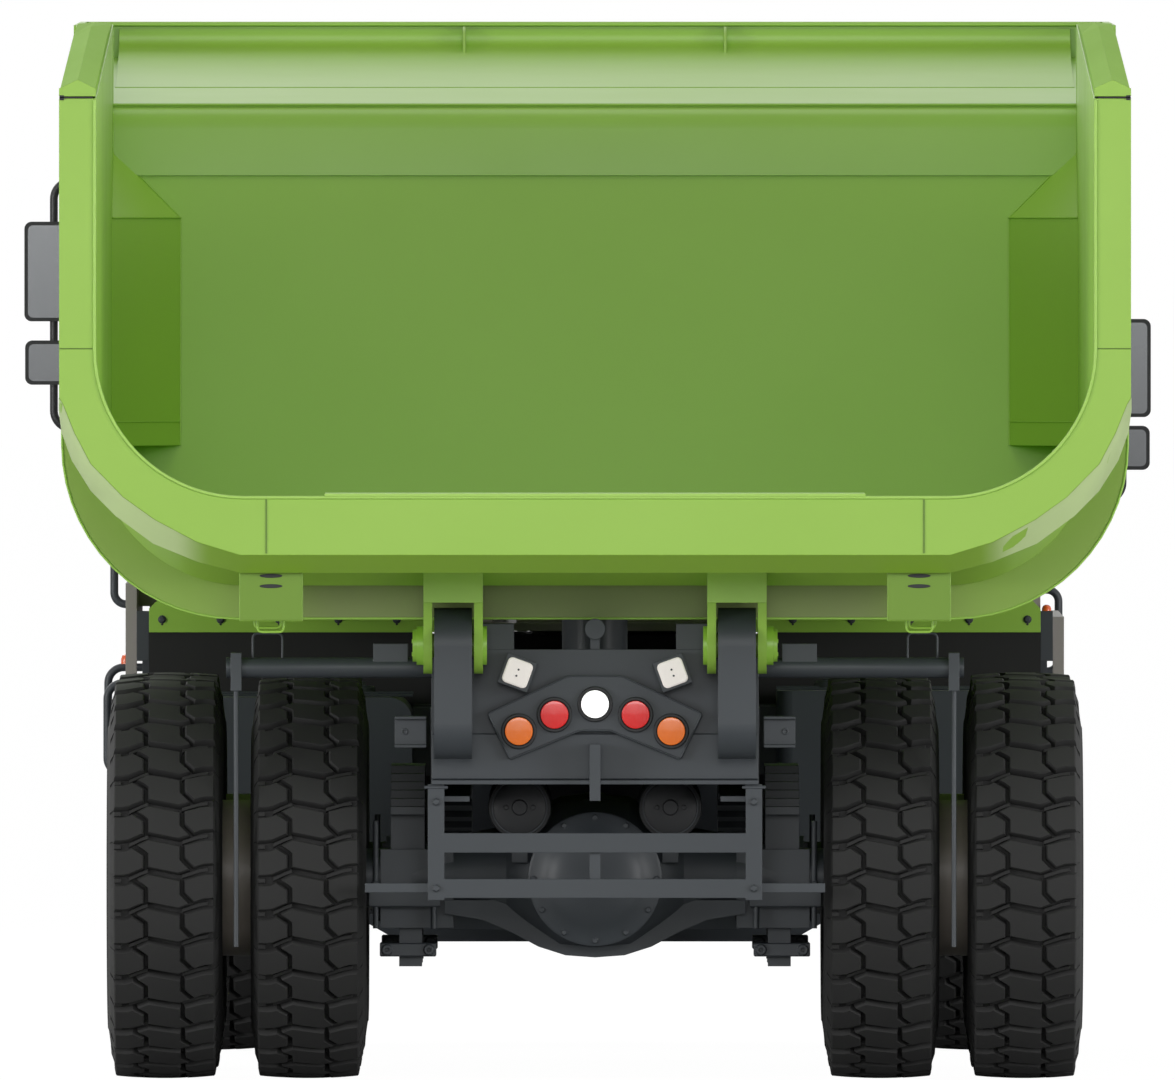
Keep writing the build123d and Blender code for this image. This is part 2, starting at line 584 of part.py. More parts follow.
def tail_lamps():
    """Chevron plate with five round lamps, and two work lamps above it."""
    outline = [(-100, 1506), (-397, 1367), (-315, 1198), (-57, 1304), (57, 1304), (315, 1198), (397, 1367),
               (100, 1506)]
    plate = prism(outline, "Y", TAIL_FACE_Y, TAIL_FACE_Y + 30)
    solids = [plate]
    for x, z in ((0, 1402), (150, 1363), (-150, 1363), (282, 1302), (-282, 1302)):
        solids.append(rod("Y", 65, TAIL_FACE_Y, TAIL_FACE_Y + 42, x, z))
        solids.append(rod("Y", 52, TAIL_FACE_Y, TAIL_FACE_Y + 55, x, z))
    work = Pos(287, TAIL_FACE_Y + 40, 1519) * Rot(0, -20, 0) * Box(115, 80, 115)
    return [fuse(solids)] + both_sides(work)


def rock_ejectors():
    """Cross tubes on brackets off the rails, each with a rod that hangs between the twin tyres."""
    y = REAR_AXLE_Y + 700
    bracket = block(RAIL_INNER_X + 75, RAIL_OUTER_X, y - 35, y + 35, RAIL_TOP_Z, EJECTOR_Z + 50)
    tube = rod("X", EJECTOR_TUBE, RAIL_OUTER_X, DUAL_X + 37, y, EJECTOR_Z)
    clamp = block(DUAL_X - 20, DUAL_X + 20, y - 45, y + 45, EJECTOR_Z - 85, EJECTOR_Z + 55)
    valve = block(693, 822, y - 30, y + 30, EJECTOR_Z, EJECTOR_Z + 89)
    drop = rod("Z", EJECTOR_ROD, EJECTOR_FOOT_Z, EJECTOR_Z, DUAL_X, y)
    return both_sides(fuse(bracket, tube, clamp, valve, drop))


def splash_panels():
    """Upright panels behind the front wheels, each on a post that stands on its rail."""
    outline = [(480, 1610), (PANEL_X, 1610), (PANEL_X, 1700), (PANEL_X - 57, 1757), (480, 1757)]
    panel = prism(outline, "Y", FLAP_Y + 10, FLAP_Y + 20)
    post = block(490, 570, FLAP_Y + 10, FLAP_Y + 40, RAIL_TOP_Z, 1610)
    return both_sides(panel.fuse(post))


def splash_flaps():
    """Rubber flaps hung on the front face of the splash panels."""
    outline = [(RAIL_OUTER_X + 35, 550), (PANEL_X, 550), (PANEL_X, 1680), (RAIL_OUTER_X + 35, 1680)]
    return both_sides(prism(outline, "Y", FLAP_Y, FLAP_Y + 10))


def engine_block():
    """Engine with its gearbox behind it, as one plain block."""
    engine = block(-390, 390, RAIL_FRONT_Y + 200, GEARBOX_REAR_Y - 480, 880, DECK_Z - DECK_WALL - 20)
    gearbox = block(-250, 250, GEARBOX_REAR_Y - 480, GEARBOX_REAR_Y, 760, 1300)
    return [engine.fuse(gearbox)]


def radiator():
    """Radiator core between the grille and the engine."""
    return [block(-430, 250, DECK_FRONT_Y + 90, DECK_FRONT_Y + 210, 1240, HOOD_TOP_Z - HOOD_WALL - 10)]


def tanks():
    """Fuel tank on the left and hydraulic tank on the right, each on brackets off its rail."""
    fuel = block(TANK_INNER_X, TANK_INNER_X + 950, -1700, -250, 720, 1380)
    fuel = fillet(fuel.edges().filter_by(Axis.Y), 90)
    oil = block(-TANK_INNER_X - 810, -TANK_INNER_X, -1700, -700, 760, 1400)
    oil = fillet(oil.edges().filter_by(Axis.Z), 60)
    straps = [block(RAIL_OUTER_X, TANK_INNER_X, y - 40, y + 40, RAIL_BOTTOM_Z + 40, 1340) for y in (-1450, -500)]
    mounts = [block(-TANK_INNER_X, -RAIL_OUTER_X, y - 40, y + 40, RAIL_BOTTOM_Z + 40, 1340) for y in (-1500, -900)]
    return [fuel.fuse(*straps), oil.fuse(*mounts)]


# ---------------------------------------------------------------- front
def front_bumper():
    """Deep steel bumper on two horns off the rails, with lamp pockets and two tow eyes."""
    half, nose_half = CAB_LEFT_X, CAB_LEFT_X - 230
    outline = [(-half, NOSE_Y + 180), (-nose_half, NOSE_Y), (nose_half, NOSE_Y), (half, NOSE_Y + 180),
               (half, NOSE_Y + 260), (-half, NOSE_Y + 260)]
    bar = prism(outline, "Z", BUMPER_BOTTOM_Z, BUMPER_TOP_Z)
    horns = both_sides(block(RAIL_INNER_X, RAIL_OUTER_X, NOSE_Y + 260, RAIL_FRONT_Y, RAIL_BOTTOM_Z, BUMPER_TOP_Z))
    pockets = both_sides(block(HEADLAMP_X, HEADLAMP_X + HEADLAMP_WIDTH, NOSE_Y - 10, NOSE_Y + 70,
                               HEADLAMP_Z, HEADLAMP_Z + HEADLAMP_HEIGHT))
    eye = block(RAIL_INNER_X + 40, RAIL_INNER_X + 40 + TOW_EYE_WALL, NOSE_Y + 120, NOSE_Y + 250,
                BUMPER_BOTTOM_Z - 130, BUMPER_BOTTOM_Z)
    eye -= rod("X", TOW_EYE_RADIUS, RAIL_INNER_X, RAIL_OUTER_X, NOSE_Y + 185, BUMPER_BOTTOM_Z - 65)
    half, low = LOW_BAR_HALF, LOW_BAR_Z
    valance = [(0, low), (half, low), (half, low + 24), (half + 283, low + 187), (half + 283, BUMPER_BOTTOM_Z),
               (half + 163, BUMPER_BOTTOM_Z), (half + 33, low + LOW_BAR_HEIGHT), (0, low + LOW_BAR_HEIGHT)]
    low_bar = both_sides(prism(valance, "Y", NOSE_Y + 20, NOSE_Y + 100))
    return [fuse(bar - pockets[0] - pockets[1], horns, both_sides(eye), low_bar)]


def headlamps():
    """Lamp blocks seated in the bumper's pockets."""
    return both_sides(block(HEADLAMP_X, HEADLAMP_X + HEADLAMP_WIDTH, NOSE_Y + 12, NOSE_Y + 70, HEADLAMP_Z,
                            HEADLAMP_Z + HEADLAMP_HEIGHT))


def front_hood():
    """Hollow engine hood on the deck, with the grille panel and its bars across the front."""
    y0, y1 = DECK_FRONT_Y + 40, DECK_REAR_Y - 200
    hood = block(HOOD_RIGHT_X, HOOD_LEFT_X, y0, y1, DECK_Z, HOOD_TOP_Z)
    hood -= block(HOOD_RIGHT_X + HOOD_WALL, HOOD_LEFT_X - HOOD_WALL, y0 + HOOD_WALL, y1 - HOOD_WALL, DECK_Z,
                  HOOD_TOP_Z - HOOD_WALL)
    x0, x1 = GRILLE_RIGHT_X, HOOD_LEFT_X
    panel = block(x0 - 40, x1, DECK_FRONT_Y, y0, GRILLE_BOTTOM_Z - 40, HOOD_TOP_Z)
    opening = (x0, x1 - 40, GRILLE_BOTTOM_Z, HOOD_TOP_Z - 60)
    panel -= block(opening[0], opening[1], DECK_FRONT_Y, y0, opening[2], opening[3])
    hood -= block(opening[0], opening[1], y0, y0 + HOOD_WALL, opening[2], opening[3])
    pitch = (opening[3] - opening[2]) / (GRILLE_BARS + 1)
    bars = [block(opening[0], opening[1], DECK_FRONT_Y + 5, y0 - 10, opening[2] + pitch * count - 16,
                  opening[2] + pitch * count + 16) for count in range(1, GRILLE_BARS + 1)]
    return [hood.fuse(panel, *bars)]


def deck_fenders():
    """Deck plate either side of the hood, its side skirts over the front wheels and its posts."""
    deck = block(-DECK_HALF, DECK_HALF, DECK_FRONT_Y + 40, DECK_REAR_Y, DECK_Z - DECK_WALL, DECK_Z)
    hole = block(-455, HOOD_LEFT_X - 25, DECK_FRONT_Y, DECK_REAR_Y - 200 - HOOD_WALL, DECK_Z - DECK_WALL, DECK_Z)
    skirts = [block(side * DECK_HALF, side * (DECK_HALF + SKIRT_WALL), DECK_FRONT_Y + 40, SKIRT_REAR_Y,
                    SKIRT_BOTTOM_Z, top) for side, top in ((1, SKIRT_TOP_Z), (-1, RIGHT_SKIRT_Z))]
    drop = block(DECK_HALF, DECK_HALF + SKIRT_WALL, SKIRT_REAR_Y - 80, SKIRT_REAR_Y, SKIRT_FOOT_Z, SKIRT_BOTTOM_Z)
    posts = [block(RAIL_INNER_X, RAIL_OUTER_X, y - 45, y + 45, RAIL_TOP_Z, DECK_Z - DECK_WALL)
             for y in (DECK_FRONT_Y + 300, FRONT_AXLE_Y - 500, DECK_REAR_Y - 60)]
    wing = block(DECK_HALF - 347, DECK_HALF, DECK_REAR_Y, SKIRT_REAR_Y, DECK_Z - DECK_WALL, DECK_Z)
    rear_box = block(-PANEL_X, REAR_BOX_WIDTH - PANEL_X, SKIRT_REAR_Y - 60, SKIRT_REAR_Y, DECK_Z,
                     DECK_Z + REAR_BOX_HEIGHT)
    under_cab = block(DECK_HALF, DECK_HALF + SKIRT_WALL, DECK_FRONT_Y, CAB_REAR_Y, CAB_FLOOR_Z, SKIRT_TOP_Z)
    return [fuse(deck - hole, skirts, both_sides(drop), rear_box, both_sides(fuse(posts)), both_sides(wing)) - under_cab]


def stringer_ladder():
    """Left boarding ladder ahead of the front wheel, hung from the deck."""
    y0, y1 = DECK_FRONT_Y + 60, DECK_FRONT_Y + 460
    sides = [block(DECK_HALF - 57, DECK_HALF - 2, y, y + 40, 470, DECK_Z - DECK_WALL) for y in (y0, y1 - 40)]
    steps = [block(DECK_HALF - 147, DECK_HALF - 2, y0 + 40, y1 - 40, z, z + 36) for z in (480, 760, 1040, 1320)]
    return fuse(sides, steps)


def ladders_handrails():
    """Ladders on both sides, the right deck's guard rail, grab rails and the posts at the wings' rear edge."""
    rail_x = GUARD_INSET - DECK_HALF
    top = RIGHT_RAIL_TOP_Z
    y0, y1 = DECK_FRONT_Y + 115, SKIRT_REAR_Y - 80
    guard = [pipe([(rail_x, y0, DECK_Z), (rail_x, y0, top), (rail_x, y1, top), (rail_x, y1, DECK_Z)],
                  TUBE_RADIUS, 90)]
    guard.append(rod("Y", TUBE_RADIUS, y0, y1, rail_x, (top + DECK_Z) / 2))
    for y in (y0 + (y1 - y0) / 3, y0 + 2 * (y1 - y0) / 3):
        guard.append(rod("Z", TUBE_RADIUS, DECK_Z, top, rail_x, y))
    low = top - 120
    front = pipe([(HOOD_RIGHT_X + 30, y0, HOOD_TOP_Z), (HOOD_RIGHT_X + 30, y0, low), (rail_x, y0, low)],
                 TUBE_RADIUS, 90)
    face_x = DECK_HALF + SKIRT_WALL
    grabs = []
    # y, bottom, top, stand-off from the skirt
    for y, z0, z1, out in ((DECK_FRONT_Y + 80, 1100, 1448, 90), (DECK_FRONT_Y + 440, 1042, 1391, 90)):
        grabs.append(pipe([(DECK_HALF - 20, y, z0), (face_x + out, y, z0), (face_x + out, y, z1),
                           (DECK_HALF - 20, y, z1)], TUBE_RADIUS, 60))
    handle_x, handle_y = CAB_LEFT_X + HANDLE_OUT, CAB_REAR_Y - 180
    handle = pipe([(CAB_LEFT_X, handle_y, HANDLE_LOW_Z), (handle_x, handle_y, HANDLE_LOW_Z),
                   (handle_x, handle_y, HANDLE_TOP_Z), (CAB_LEFT_X, handle_y, HANDLE_TOP_Z)], TUBE_RADIUS, 45)
    y = DECK_FRONT_Y + 20
    foot_x, hand_x, low_z = DECK_HALF - 59, face_x + 3, SKIRT_BOTTOM_Z - 80
    grab = pipe([(-foot_x, y, DECK_Z - DECK_WALL), (-foot_x, y, GRAB_Z), (-hand_x, y, GRAB_Z), (-hand_x, y, low_z),
                 (-foot_x, y, low_z)], TUBE_RADIUS, 45)
    clips = [block(-foot_x - 15, -foot_x + 15, y, y + 20, DECK_Z - DECK_WALL, DECK_Z),
             block(-foot_x - 40, -foot_x, y, y + 40, low_z - 15, low_z + 15)]
    edge_post = block(PANEL_X, DECK_HALF, SKIRT_REAR_Y, SKIRT_REAR_Y + EDGE_POST_WALL, SKIRT_BOTTOM_Z - 12,
                      EDGE_POST_Z)
    ladders = both_sides(stringer_ladder())
    return [fuse(ladders[0], grabs), fuse(ladders[1], grab, clips), fuse(guard, front), handle] + both_sides(edge_post)


def mirrors():
    """Mirror heads on their looped arms, high on the cab's side and low at the right deck's corner."""
    y = DECK_FRONT_Y + 60
    post_x = DECK_HALF - GUARD_INSET
    post = rod("Z", TUBE_RADIUS + 4, DECK_Z, 2940, -post_x, y)
    # side, anchor from the middle, arm inside the heads' outer edge, arm's bottom and top, then for the
    # main and the lower head: inset of its outer edge, width, bottom and top
    rows = [
        (1, CAB_LEFT_X, 114, 2370, 3328, ((0, 207, 2785, 3170), (3, 189, 2540, 2711))),
        (-1, post_x, 164, 2092, 2881, ((55, 199, 2415, 2794), (59, 180, 2211, 2381))),
    ]
    made = []
    for side, anchor, arm_inset, low, high, heads in rows:
        outer = DECK_HALF + SKIRT_WALL + MIRROR_OUT
        arm_x = side * (outer - arm_inset)
        solids = [pipe([(side * anchor, y, low), (arm_x, y, low), (arm_x, y, high), (side * anchor, y, high)],
                       TUBE_RADIUS, 70)]
        for inset, width, z0, z1 in heads:
            head = block(side * (outer - inset), side * (outer - inset - width), y - 70, y + 30, z0, z1)
            solids.append(fillet(head.edges().filter_by(Axis.Y), 28))
        made.append(fuse(solids))
    return [made[0], made[1].fuse(post)]


def air_cleaners():
    """Two upright air cleaners on the right deck."""
    x = CLEANER_INSET - DECK_HALF
    return [rod("Z", CLEANER_RADIUS, DECK_Z, DECK_Z + 620, x, y).fuse(
        rod("Z", CLEANER_RADIUS - 55, DECK_Z + 620, DECK_Z + 700, x, y))
            for y in (FRONT_AXLE_Y - 250, FRONT_AXLE_Y + 180)]


def exhaust_muffler():
    """Upright muffler on the deck behind the hood, with its tailpipe."""
    x, y = -700, DECK_REAR_Y - 105
    return [rod("Z", 90, DECK_Z, DECK_Z + 800, x, y).fuse(rod("Z", 50, DECK_Z + 800, DECK_Z + 1500, x, y))]


# ---------------------------------------------------------------- cab
def cab_profile(inset):
    """Side outline of the cab as (y, z) points, each moved inwards by the inset."""
    # y, z, inward along y, inward along z
    corners = [
        (CAB_FRONT_Y, CAB_FLOOR_Z, 1, 1),
        (CAB_FRONT_Y, WINDSCREEN_FOOT_Z, 1, 0),
        (CAB_FRONT_Y + CAB_RAKE, CAB_ROOF_Z, 1, -1),
        (CAB_REAR_Y, CAB_ROOF_Z, -1, -1),
        (CAB_REAR_Y, CAB_FLOOR_Z, -1, 1),
    ]
    return [(y + inset * along, z + inset * up) for y, z, along, up in corners]


def windscreen_y(z):
    """Where the raked front's outer face is at a height."""
    share = (z - WINDSCREEN_FOOT_Z) / (CAB_ROOF_Z - WINDSCREEN_FOOT_Z)
    return CAB_FRONT_Y + CAB_RAKE * share


def cab_windows():
    """Cuts through the front, rear and right walls and the door opening, by name."""
    reach = CAB_WALL + 40
    return {
        "front": block(CAB_RIGHT_X + 90, CAB_LEFT_X - 90, CAB_FRONT_Y - 10, CAB_FRONT_Y + CAB_RAKE + reach,
                       WINDSCREEN_LOW_Z, WINDSCREEN_HIGH_Z),
        "rear": block(CAB_RIGHT_X + 260, CAB_LEFT_X - 260, CAB_REAR_Y - reach, CAB_REAR_Y + 10, 2520, CAB_ROOF_Z - 240),
        "right": block(CAB_RIGHT_X - 10, CAB_RIGHT_X + reach, DOOR_FRONT_Y, DOOR_REAR_Y, 2420, CAB_ROOF_Z - 200),
        "door": block(CAB_LEFT_X - reach, CAB_LEFT_X + 10, DOOR_FRONT_Y, DOOR_REAR_Y, DOOR_SILL_Z, DOOR_TOP_Z),
    }


def cab_shell():
    """Hollow cab on four mounts, with its windows and door opening cut."""
    shell = prism(cab_profile(0), "X", CAB_RIGHT_X, CAB_LEFT_X)
    shell -= prism(cab_profile(CAB_WALL), "X", CAB_RIGHT_X + CAB_WALL, CAB_LEFT_X - CAB_WALL)
    for cut in cab_windows().values():
        shell -= cut
    mounts = [block(x, x + 110, y, y + 110, DECK_Z, CAB_FLOOR_Z)
              for x in (CAB_RIGHT_X + 60, DECK_HALF - 150) for y in (CAB_FRONT_Y + 100, CAB_REAR_Y - 200)]
    return [shell.fuse(*mounts)]


def cab_glass():
    """Panes seated in the front, rear and right windows."""
    low, high = WINDSCREEN_LOW_Z, WINDSCREEN_HIGH_Z
    inset = CAB_WALL / 2
    front = prism([(windscreen_y(low) + inset, low), (windscreen_y(low) + inset + GLASS_WALL, low),
                   (windscreen_y(high) + inset + GLASS_WALL, high), (windscreen_y(high) + inset, high)],
                  "X", CAB_RIGHT_X + 90, CAB_LEFT_X - 90)
    rear = block(CAB_RIGHT_X + 260, CAB_LEFT_X - 260, CAB_REAR_Y - inset - GLASS_WALL, CAB_REAR_Y - inset, 2520, CAB_ROOF_Z - 240)
    right = block(CAB_RIGHT_X + inset, CAB_RIGHT_X + inset + GLASS_WALL, DOOR_FRONT_Y, DOOR_REAR_Y, 2420, CAB_ROOF_Z - 200)
    return [front, rear, right]


def cab_interior():
    """Driver's seat, dashboard, steering column and wheel on the cab's floor."""
    floor = CAB_FLOOR_Z + CAB_WALL
    x = (CAB_RIGHT_X + CAB_LEFT_X) / 2 + 250
    rear = CAB_REAR_Y - 180
    seat = block(x - 260, x + 260, rear - 540, rear - 40, floor + 330, floor + 480)
    seat = seat.fuse(block(x - 250, x + 250, rear - 120, rear, floor + 480, floor + 1150),
                     block(x - 170, x + 170, rear - 460, rear - 120, floor, floor + 330))
    dash = prism([(CAB_FRONT_Y + CAB_WALL, floor), (CAB_FRONT_Y + 260, floor), (CAB_FRONT_Y + 420, floor + 620),
                  (CAB_FRONT_Y + 420, floor + 700), (CAB_FRONT_Y + CAB_WALL, floor + 520)], "X",
                 CAB_RIGHT_X + CAB_WALL, CAB_LEFT_X - CAB_WALL)
    column = strut((x, CAB_FRONT_Y + 380, floor + 640), (x, CAB_FRONT_Y + 590, floor + 850), 40)
    wheel = Pos(x, CAB_FRONT_Y + 590, floor + 850) * Rot(-45, 0, 0) * (Cylinder(235, 26) - Cylinder(205, 30))
    spokes = Pos(x, CAB_FRONT_Y + 590, floor + 850) * Rot(-45, 0, 0) * Box(420, 50, 18)
    return [seat, fuse(dash, column, wheel, spokes)]


def cab_door():
    """Left door as thick as the wall, with its window cut and two hinge knuckles outboard."""
    gap = DOOR_GAP
    y0, y1 = DOOR_FRONT_Y + gap, DOOR_REAR_Y - gap
    door = block(CAB_LEFT_X - CAB_WALL, CAB_LEFT_X, y0, y1, DOOR_SILL_Z + gap, DOOR_TOP_Z - gap)
    door -= block(CAB_LEFT_X - CAB_WALL, CAB_LEFT_X, y0 + 90, y1 - 90, DOOR_GLASS_Z, DOOR_TOP_Z - 90)
    hinge_x = CAB_LEFT_X + HINGE_OFFSET
    for z in (DOOR_SILL_Z + 220, DOOR_TOP_Z - 280):
        knuckle_body = rod("Z", HINGE_RADIUS, z, z + 90, hinge_x, y0)
        leaf = block(CAB_LEFT_X, hinge_x, y0, y0 + 70, z, z + 90)
        door = door.fuse(knuckle_body, leaf)
    return [door]


def cab_door_glass():
    """Pane seated in the door's window."""
    x = CAB_LEFT_X - CAB_WALL / 2
    edge = DOOR_GAP + 90
    return [block(x - GLASS_WALL, x, DOOR_FRONT_Y + edge, DOOR_REAR_Y - edge, DOOR_GLASS_Z, DOOR_TOP_Z - 90)]


# ---------------------------------------------------------------- tipping body
def trough_face(y, half, floor, top, corner):
    """Upright section of a round-cornered trough at y, filled up to its top."""
    bend = corner * (1 - math.sqrt(0.5))
    return make_face([
        Line((-half, y, top), (half, y, top)),
        Line((half, y, top), (half, y, floor + corner)),
        ThreePointArc((half, y, floor + corner), (half - bend, y, floor + bend), (half - corner, y, floor)),
        Line((half - corner, y, floor), (corner - half, y, floor)),
        ThreePointArc((corner - half, y, floor), (bend - half, y, floor + bend), (-half, y, floor + corner)),
        Line((-half, y, floor + corner), (-half, y, top)),
    ])


def rail_top(y):
    """Height of the side walls' top at y; it rises towards the front."""
    return SIDE_REAR_Z + RAIL_RISE * (TAIL_Y - y)


def wall_y(z):
    """Where the sloping front wall's outer face is at a height."""
    return WALL_FOOT_Y + WALL_LEAN * (z - BED_UNDER_Z)


def wall_meets_rail(drop):
    """Height at which the front wall's face meets a line that runs below the side walls' top by drop."""
    level = SIDE_REAR_Z - drop + RAIL_RISE * (TAIL_Y - WALL_FOOT_Y + WALL_LEAN * BED_UNDER_Z)
    return level / (1 + RAIL_RISE * WALL_LEAN)


def trough(inset, tail_y):
    """Solid trough with a kicked-up tail; inset 0 is the skin's outside, BED_SKIN its inside."""
    half = BED_OUTER - inset
    corner = BED_CORNER + BED_SKIN - inset
    floor = BED_UNDER_Z + inset
    lip = LIP_Z - BED_SKIN + inset
    rise = (lip - floor) / (TAIL_Y - DUCKTAIL_Y)
    high = SIDE_FRONT_Z + 200
    front = WALL_TOP_Y - 300
    main = extrude(trough_face(front, half, floor, high, corner), amount=DUCKTAIL_Y - front, dir=(0, 1, 0))
    tail_floor = floor + rise * (tail_y - DUCKTAIL_Y)
    tail = loft([trough_face(DUCKTAIL_Y, half, floor, high, corner),
                 trough_face(tail_y, half, tail_floor, high, corner)], ruled=True)
    return main.fuse(tail)


def side_slab(front_shift, drop, tail_y):
    """Side view of the body, wide enough to trim any section: from the front wall to tail_y."""
    low, high = HOOP_UNDER_Z - 300, wall_meets_rail(drop)
    outline = [(wall_y(low) + front_shift, low), (tail_y, low), (tail_y, rail_top(tail_y) - drop),
               (wall_y(high) + front_shift, high)]
    return prism(outline, "X", -2 * HOOP_HALF, 2 * HOOP_HALF)


def bed_outside():
    """The skin's outside as one solid, up to the side walls' top."""
    return trough(0, TAIL_Y) & side_slab(0, 0, TAIL_Y)


def bed_shell():
    """Floor, sides and sloping front wall as one open skin, with plates across its front corners."""
    inside = trough(BED_SKIN, TAIL_Y + 200) & side_slab(BED_SKIN, -300, TAIL_Y + 200)
    shell = bed_outside() - inside
    shell -= block(-BED_HALF, BED_HALF, WALL_TOP_Y - 400, WALL_TOP_Y + 20, WALL_TOP_Z, SIDE_FRONT_Z + 300)
    z0, z1 = BED_FLOOR_Z + 470, WALL_TOP_Z - 436
    x0, y0 = BED_HALF - 260, wall_y(z0) + BED_SKIN
    corner = make_face(Polyline((x0, y0, z0), (BED_HALF, y0, z0), (BED_HALF, y0 + 330, z0), close=True))
    plate = extrude(corner, amount=(z1 - z0) * math.hypot(1, WALL_LEAN), dir=(0, WALL_LEAN, 1))
    apex = (BED_HALF, wall_y(z1 + 260) + BED_SKIN, z1 + 260)
    base = [(x0, wall_y(z1) + BED_SKIN, z1), (BED_HALF, wall_y(z1) + BED_SKIN, z1),
            (BED_HALF, wall_y(z1) + BED_SKIN + 330, z1)]
    cap = Solid(Shell([Face(Wire.make_polygon([Vector(*p) for p in tri], close=True)) for tri in (
        base, (base[0], base[1], apex), (base[1], base[2], apex), (base[2], base[0], apex))]))
    return [shell.fuse(*both_sides(plate), *both_sides(cap))]


def hoop_places():
    """Where each hoop starts along the body."""
    pitch = (HOOP_LAST_Y - HOOP_FIRST_Y) / (HOOP_COUNT - 1)
    return [HOOP_FIRST_Y + pitch * count for count in range(HOOP_COUNT)]


# Rounded corner of the tail's rim, about the corner's centre: angle from straight down and depth beyond
# the hoops' outside, of the upright face and then of the skirt that turns forward from it
RIM_CORNER = [
    (0.8, 81, 1.0, 145),
    (13.3, 53, 12.1, 122),
    (27.4, 29, 24.8, 110),
    (38.9, 23, 37.4, 94),
    (53.0, 24, 47.0, 87),
    (63.6, 15, 57.0, 73),
    (73.0, 15, 65.3, 56),
]
RIM_FACE_END = 178.0
RIM_SKIRT_END = 224.0


def rim_outline(face):
    """Outside of the rim as (x, z) points: its face if face is true, else the skirt's front edge."""
    centre_x, centre_z = BED_HALF - BED_CORNER, LIP_Z + BED_CORNER
    half = []
    for face_angle, face_depth, skirt_angle, skirt_depth in RIM_CORNER:
        angle, depth = (face_angle, face_depth) if face else (skirt_angle, skirt_depth)
        reach = BED_CORNER + BED_SKIN + HOOP_DEPTH + depth
        half.append((centre_x + reach * math.sin(math.radians(angle)),
                     centre_z - reach * math.cos(math.radians(angle))))
    half.append((HOOP_HALF, centre_z - (RIM_FACE_END if face else RIM_SKIRT_END)))
    half.append((HOOP_HALF, SIDE_FRONT_Z))
    return half + [(-x, z) for x, z in reversed(half)]


def tail_rim():
    """Rim round the tail: an upright face, the skirt that turns forward and out from it, and its root."""
    faces = []
    for face, y in ((True, TAIL_Y), (False, TAIL_Y - SKIRT_DEPTH)):
        points = [(x, y, z) for x, z in rim_outline(face)]
        faces.append(make_face(Polyline(*points, close=True)))
    root = prism(rim_outline(False), "Y", TAIL_Y - RIM_DEPTH, TAIL_Y - SKIRT_DEPTH)
    return loft(faces, ruled=True).fuse(root)


def bed_hoops():
    """Hoops under and beside the skin, the top rails they meet and the deep rim round the tail."""
    skin = bed_outside()
    hoop_corner = BED_CORNER + BED_SKIN + HOOP_DEPTH - HOOP_CORNER_TRIM
    under_rail = side_slab(-200, TOP_RAIL_HEIGHT, TAIL_Y)
    places = hoop_places()
    hoops = []
    for y in places:
        face = trough_face(y, HOOP_HALF, HOOP_UNDER_Z, SIDE_FRONT_Z + 100, hoop_corner)
        hoops.append(extrude(face, amount=HOOP_WIDTH, dir=(0, 1, 0)))
    hoops.append(tail_rim())
    ribs = (fuse(hoops) & under_rail) - skin - sill_space()
    rail = prism([(WALL_TOP_Y, rail_top(WALL_TOP_Y)), (TAIL_Y, rail_top(TAIL_Y)),
                  (TAIL_Y, rail_top(TAIL_Y) - TOP_RAIL_HEIGHT),
                  (WALL_TOP_Y, rail_top(WALL_TOP_Y) - TOP_RAIL_HEIGHT)], "X", BED_OUTER, HOOP_HALF)
    rim_y = TAIL_Y - RIM_DEPTH
    pads = block(PAD_X, PAD_X + PAD_WIDTH, rim_y - 260, rim_y, HOOP_UNDER_Z, PAD_TOP_Z) - skin
    slot_x = PAD_X + (PAD_WIDTH - SLOT_WIDTH) / 2
    for z in (HOOP_UNDER_Z + 118, HOOP_UNDER_Z + 152):
        pads -= block(slot_x, slot_x + SLOT_WIDTH, rim_y - 40, rim_y, z, z + SLOT_HEIGHT)
    rear, top = places[-3] + HOOP_WIDTH, rail_top(places[-3])
    plate = prism([(places[1], top - 790), (rear, top - 790), (rear, top - 360), (places[1], top - 360)], "X",
                  HOOP_HALF, HOOP_HALF + SIDE_PLATE)
    wall_ribs = []
    for x in (330, 900, 1500):
        low, high = BED_UNDER_Z, WALL_TOP_Z - 150
        outline = [(wall_y(low), low), (wall_y(high), high), (wall_y(high) - 90, high), (wall_y(low) - 90, low)]
        wall_ribs.append(prism(outline, "X", x, x + 110))
    body = fuse(ribs, both_sides(rail), both_sides(pads), both_sides(plate))
    return [body] + [one for rib in wall_ribs for one in both_sides(rib)]


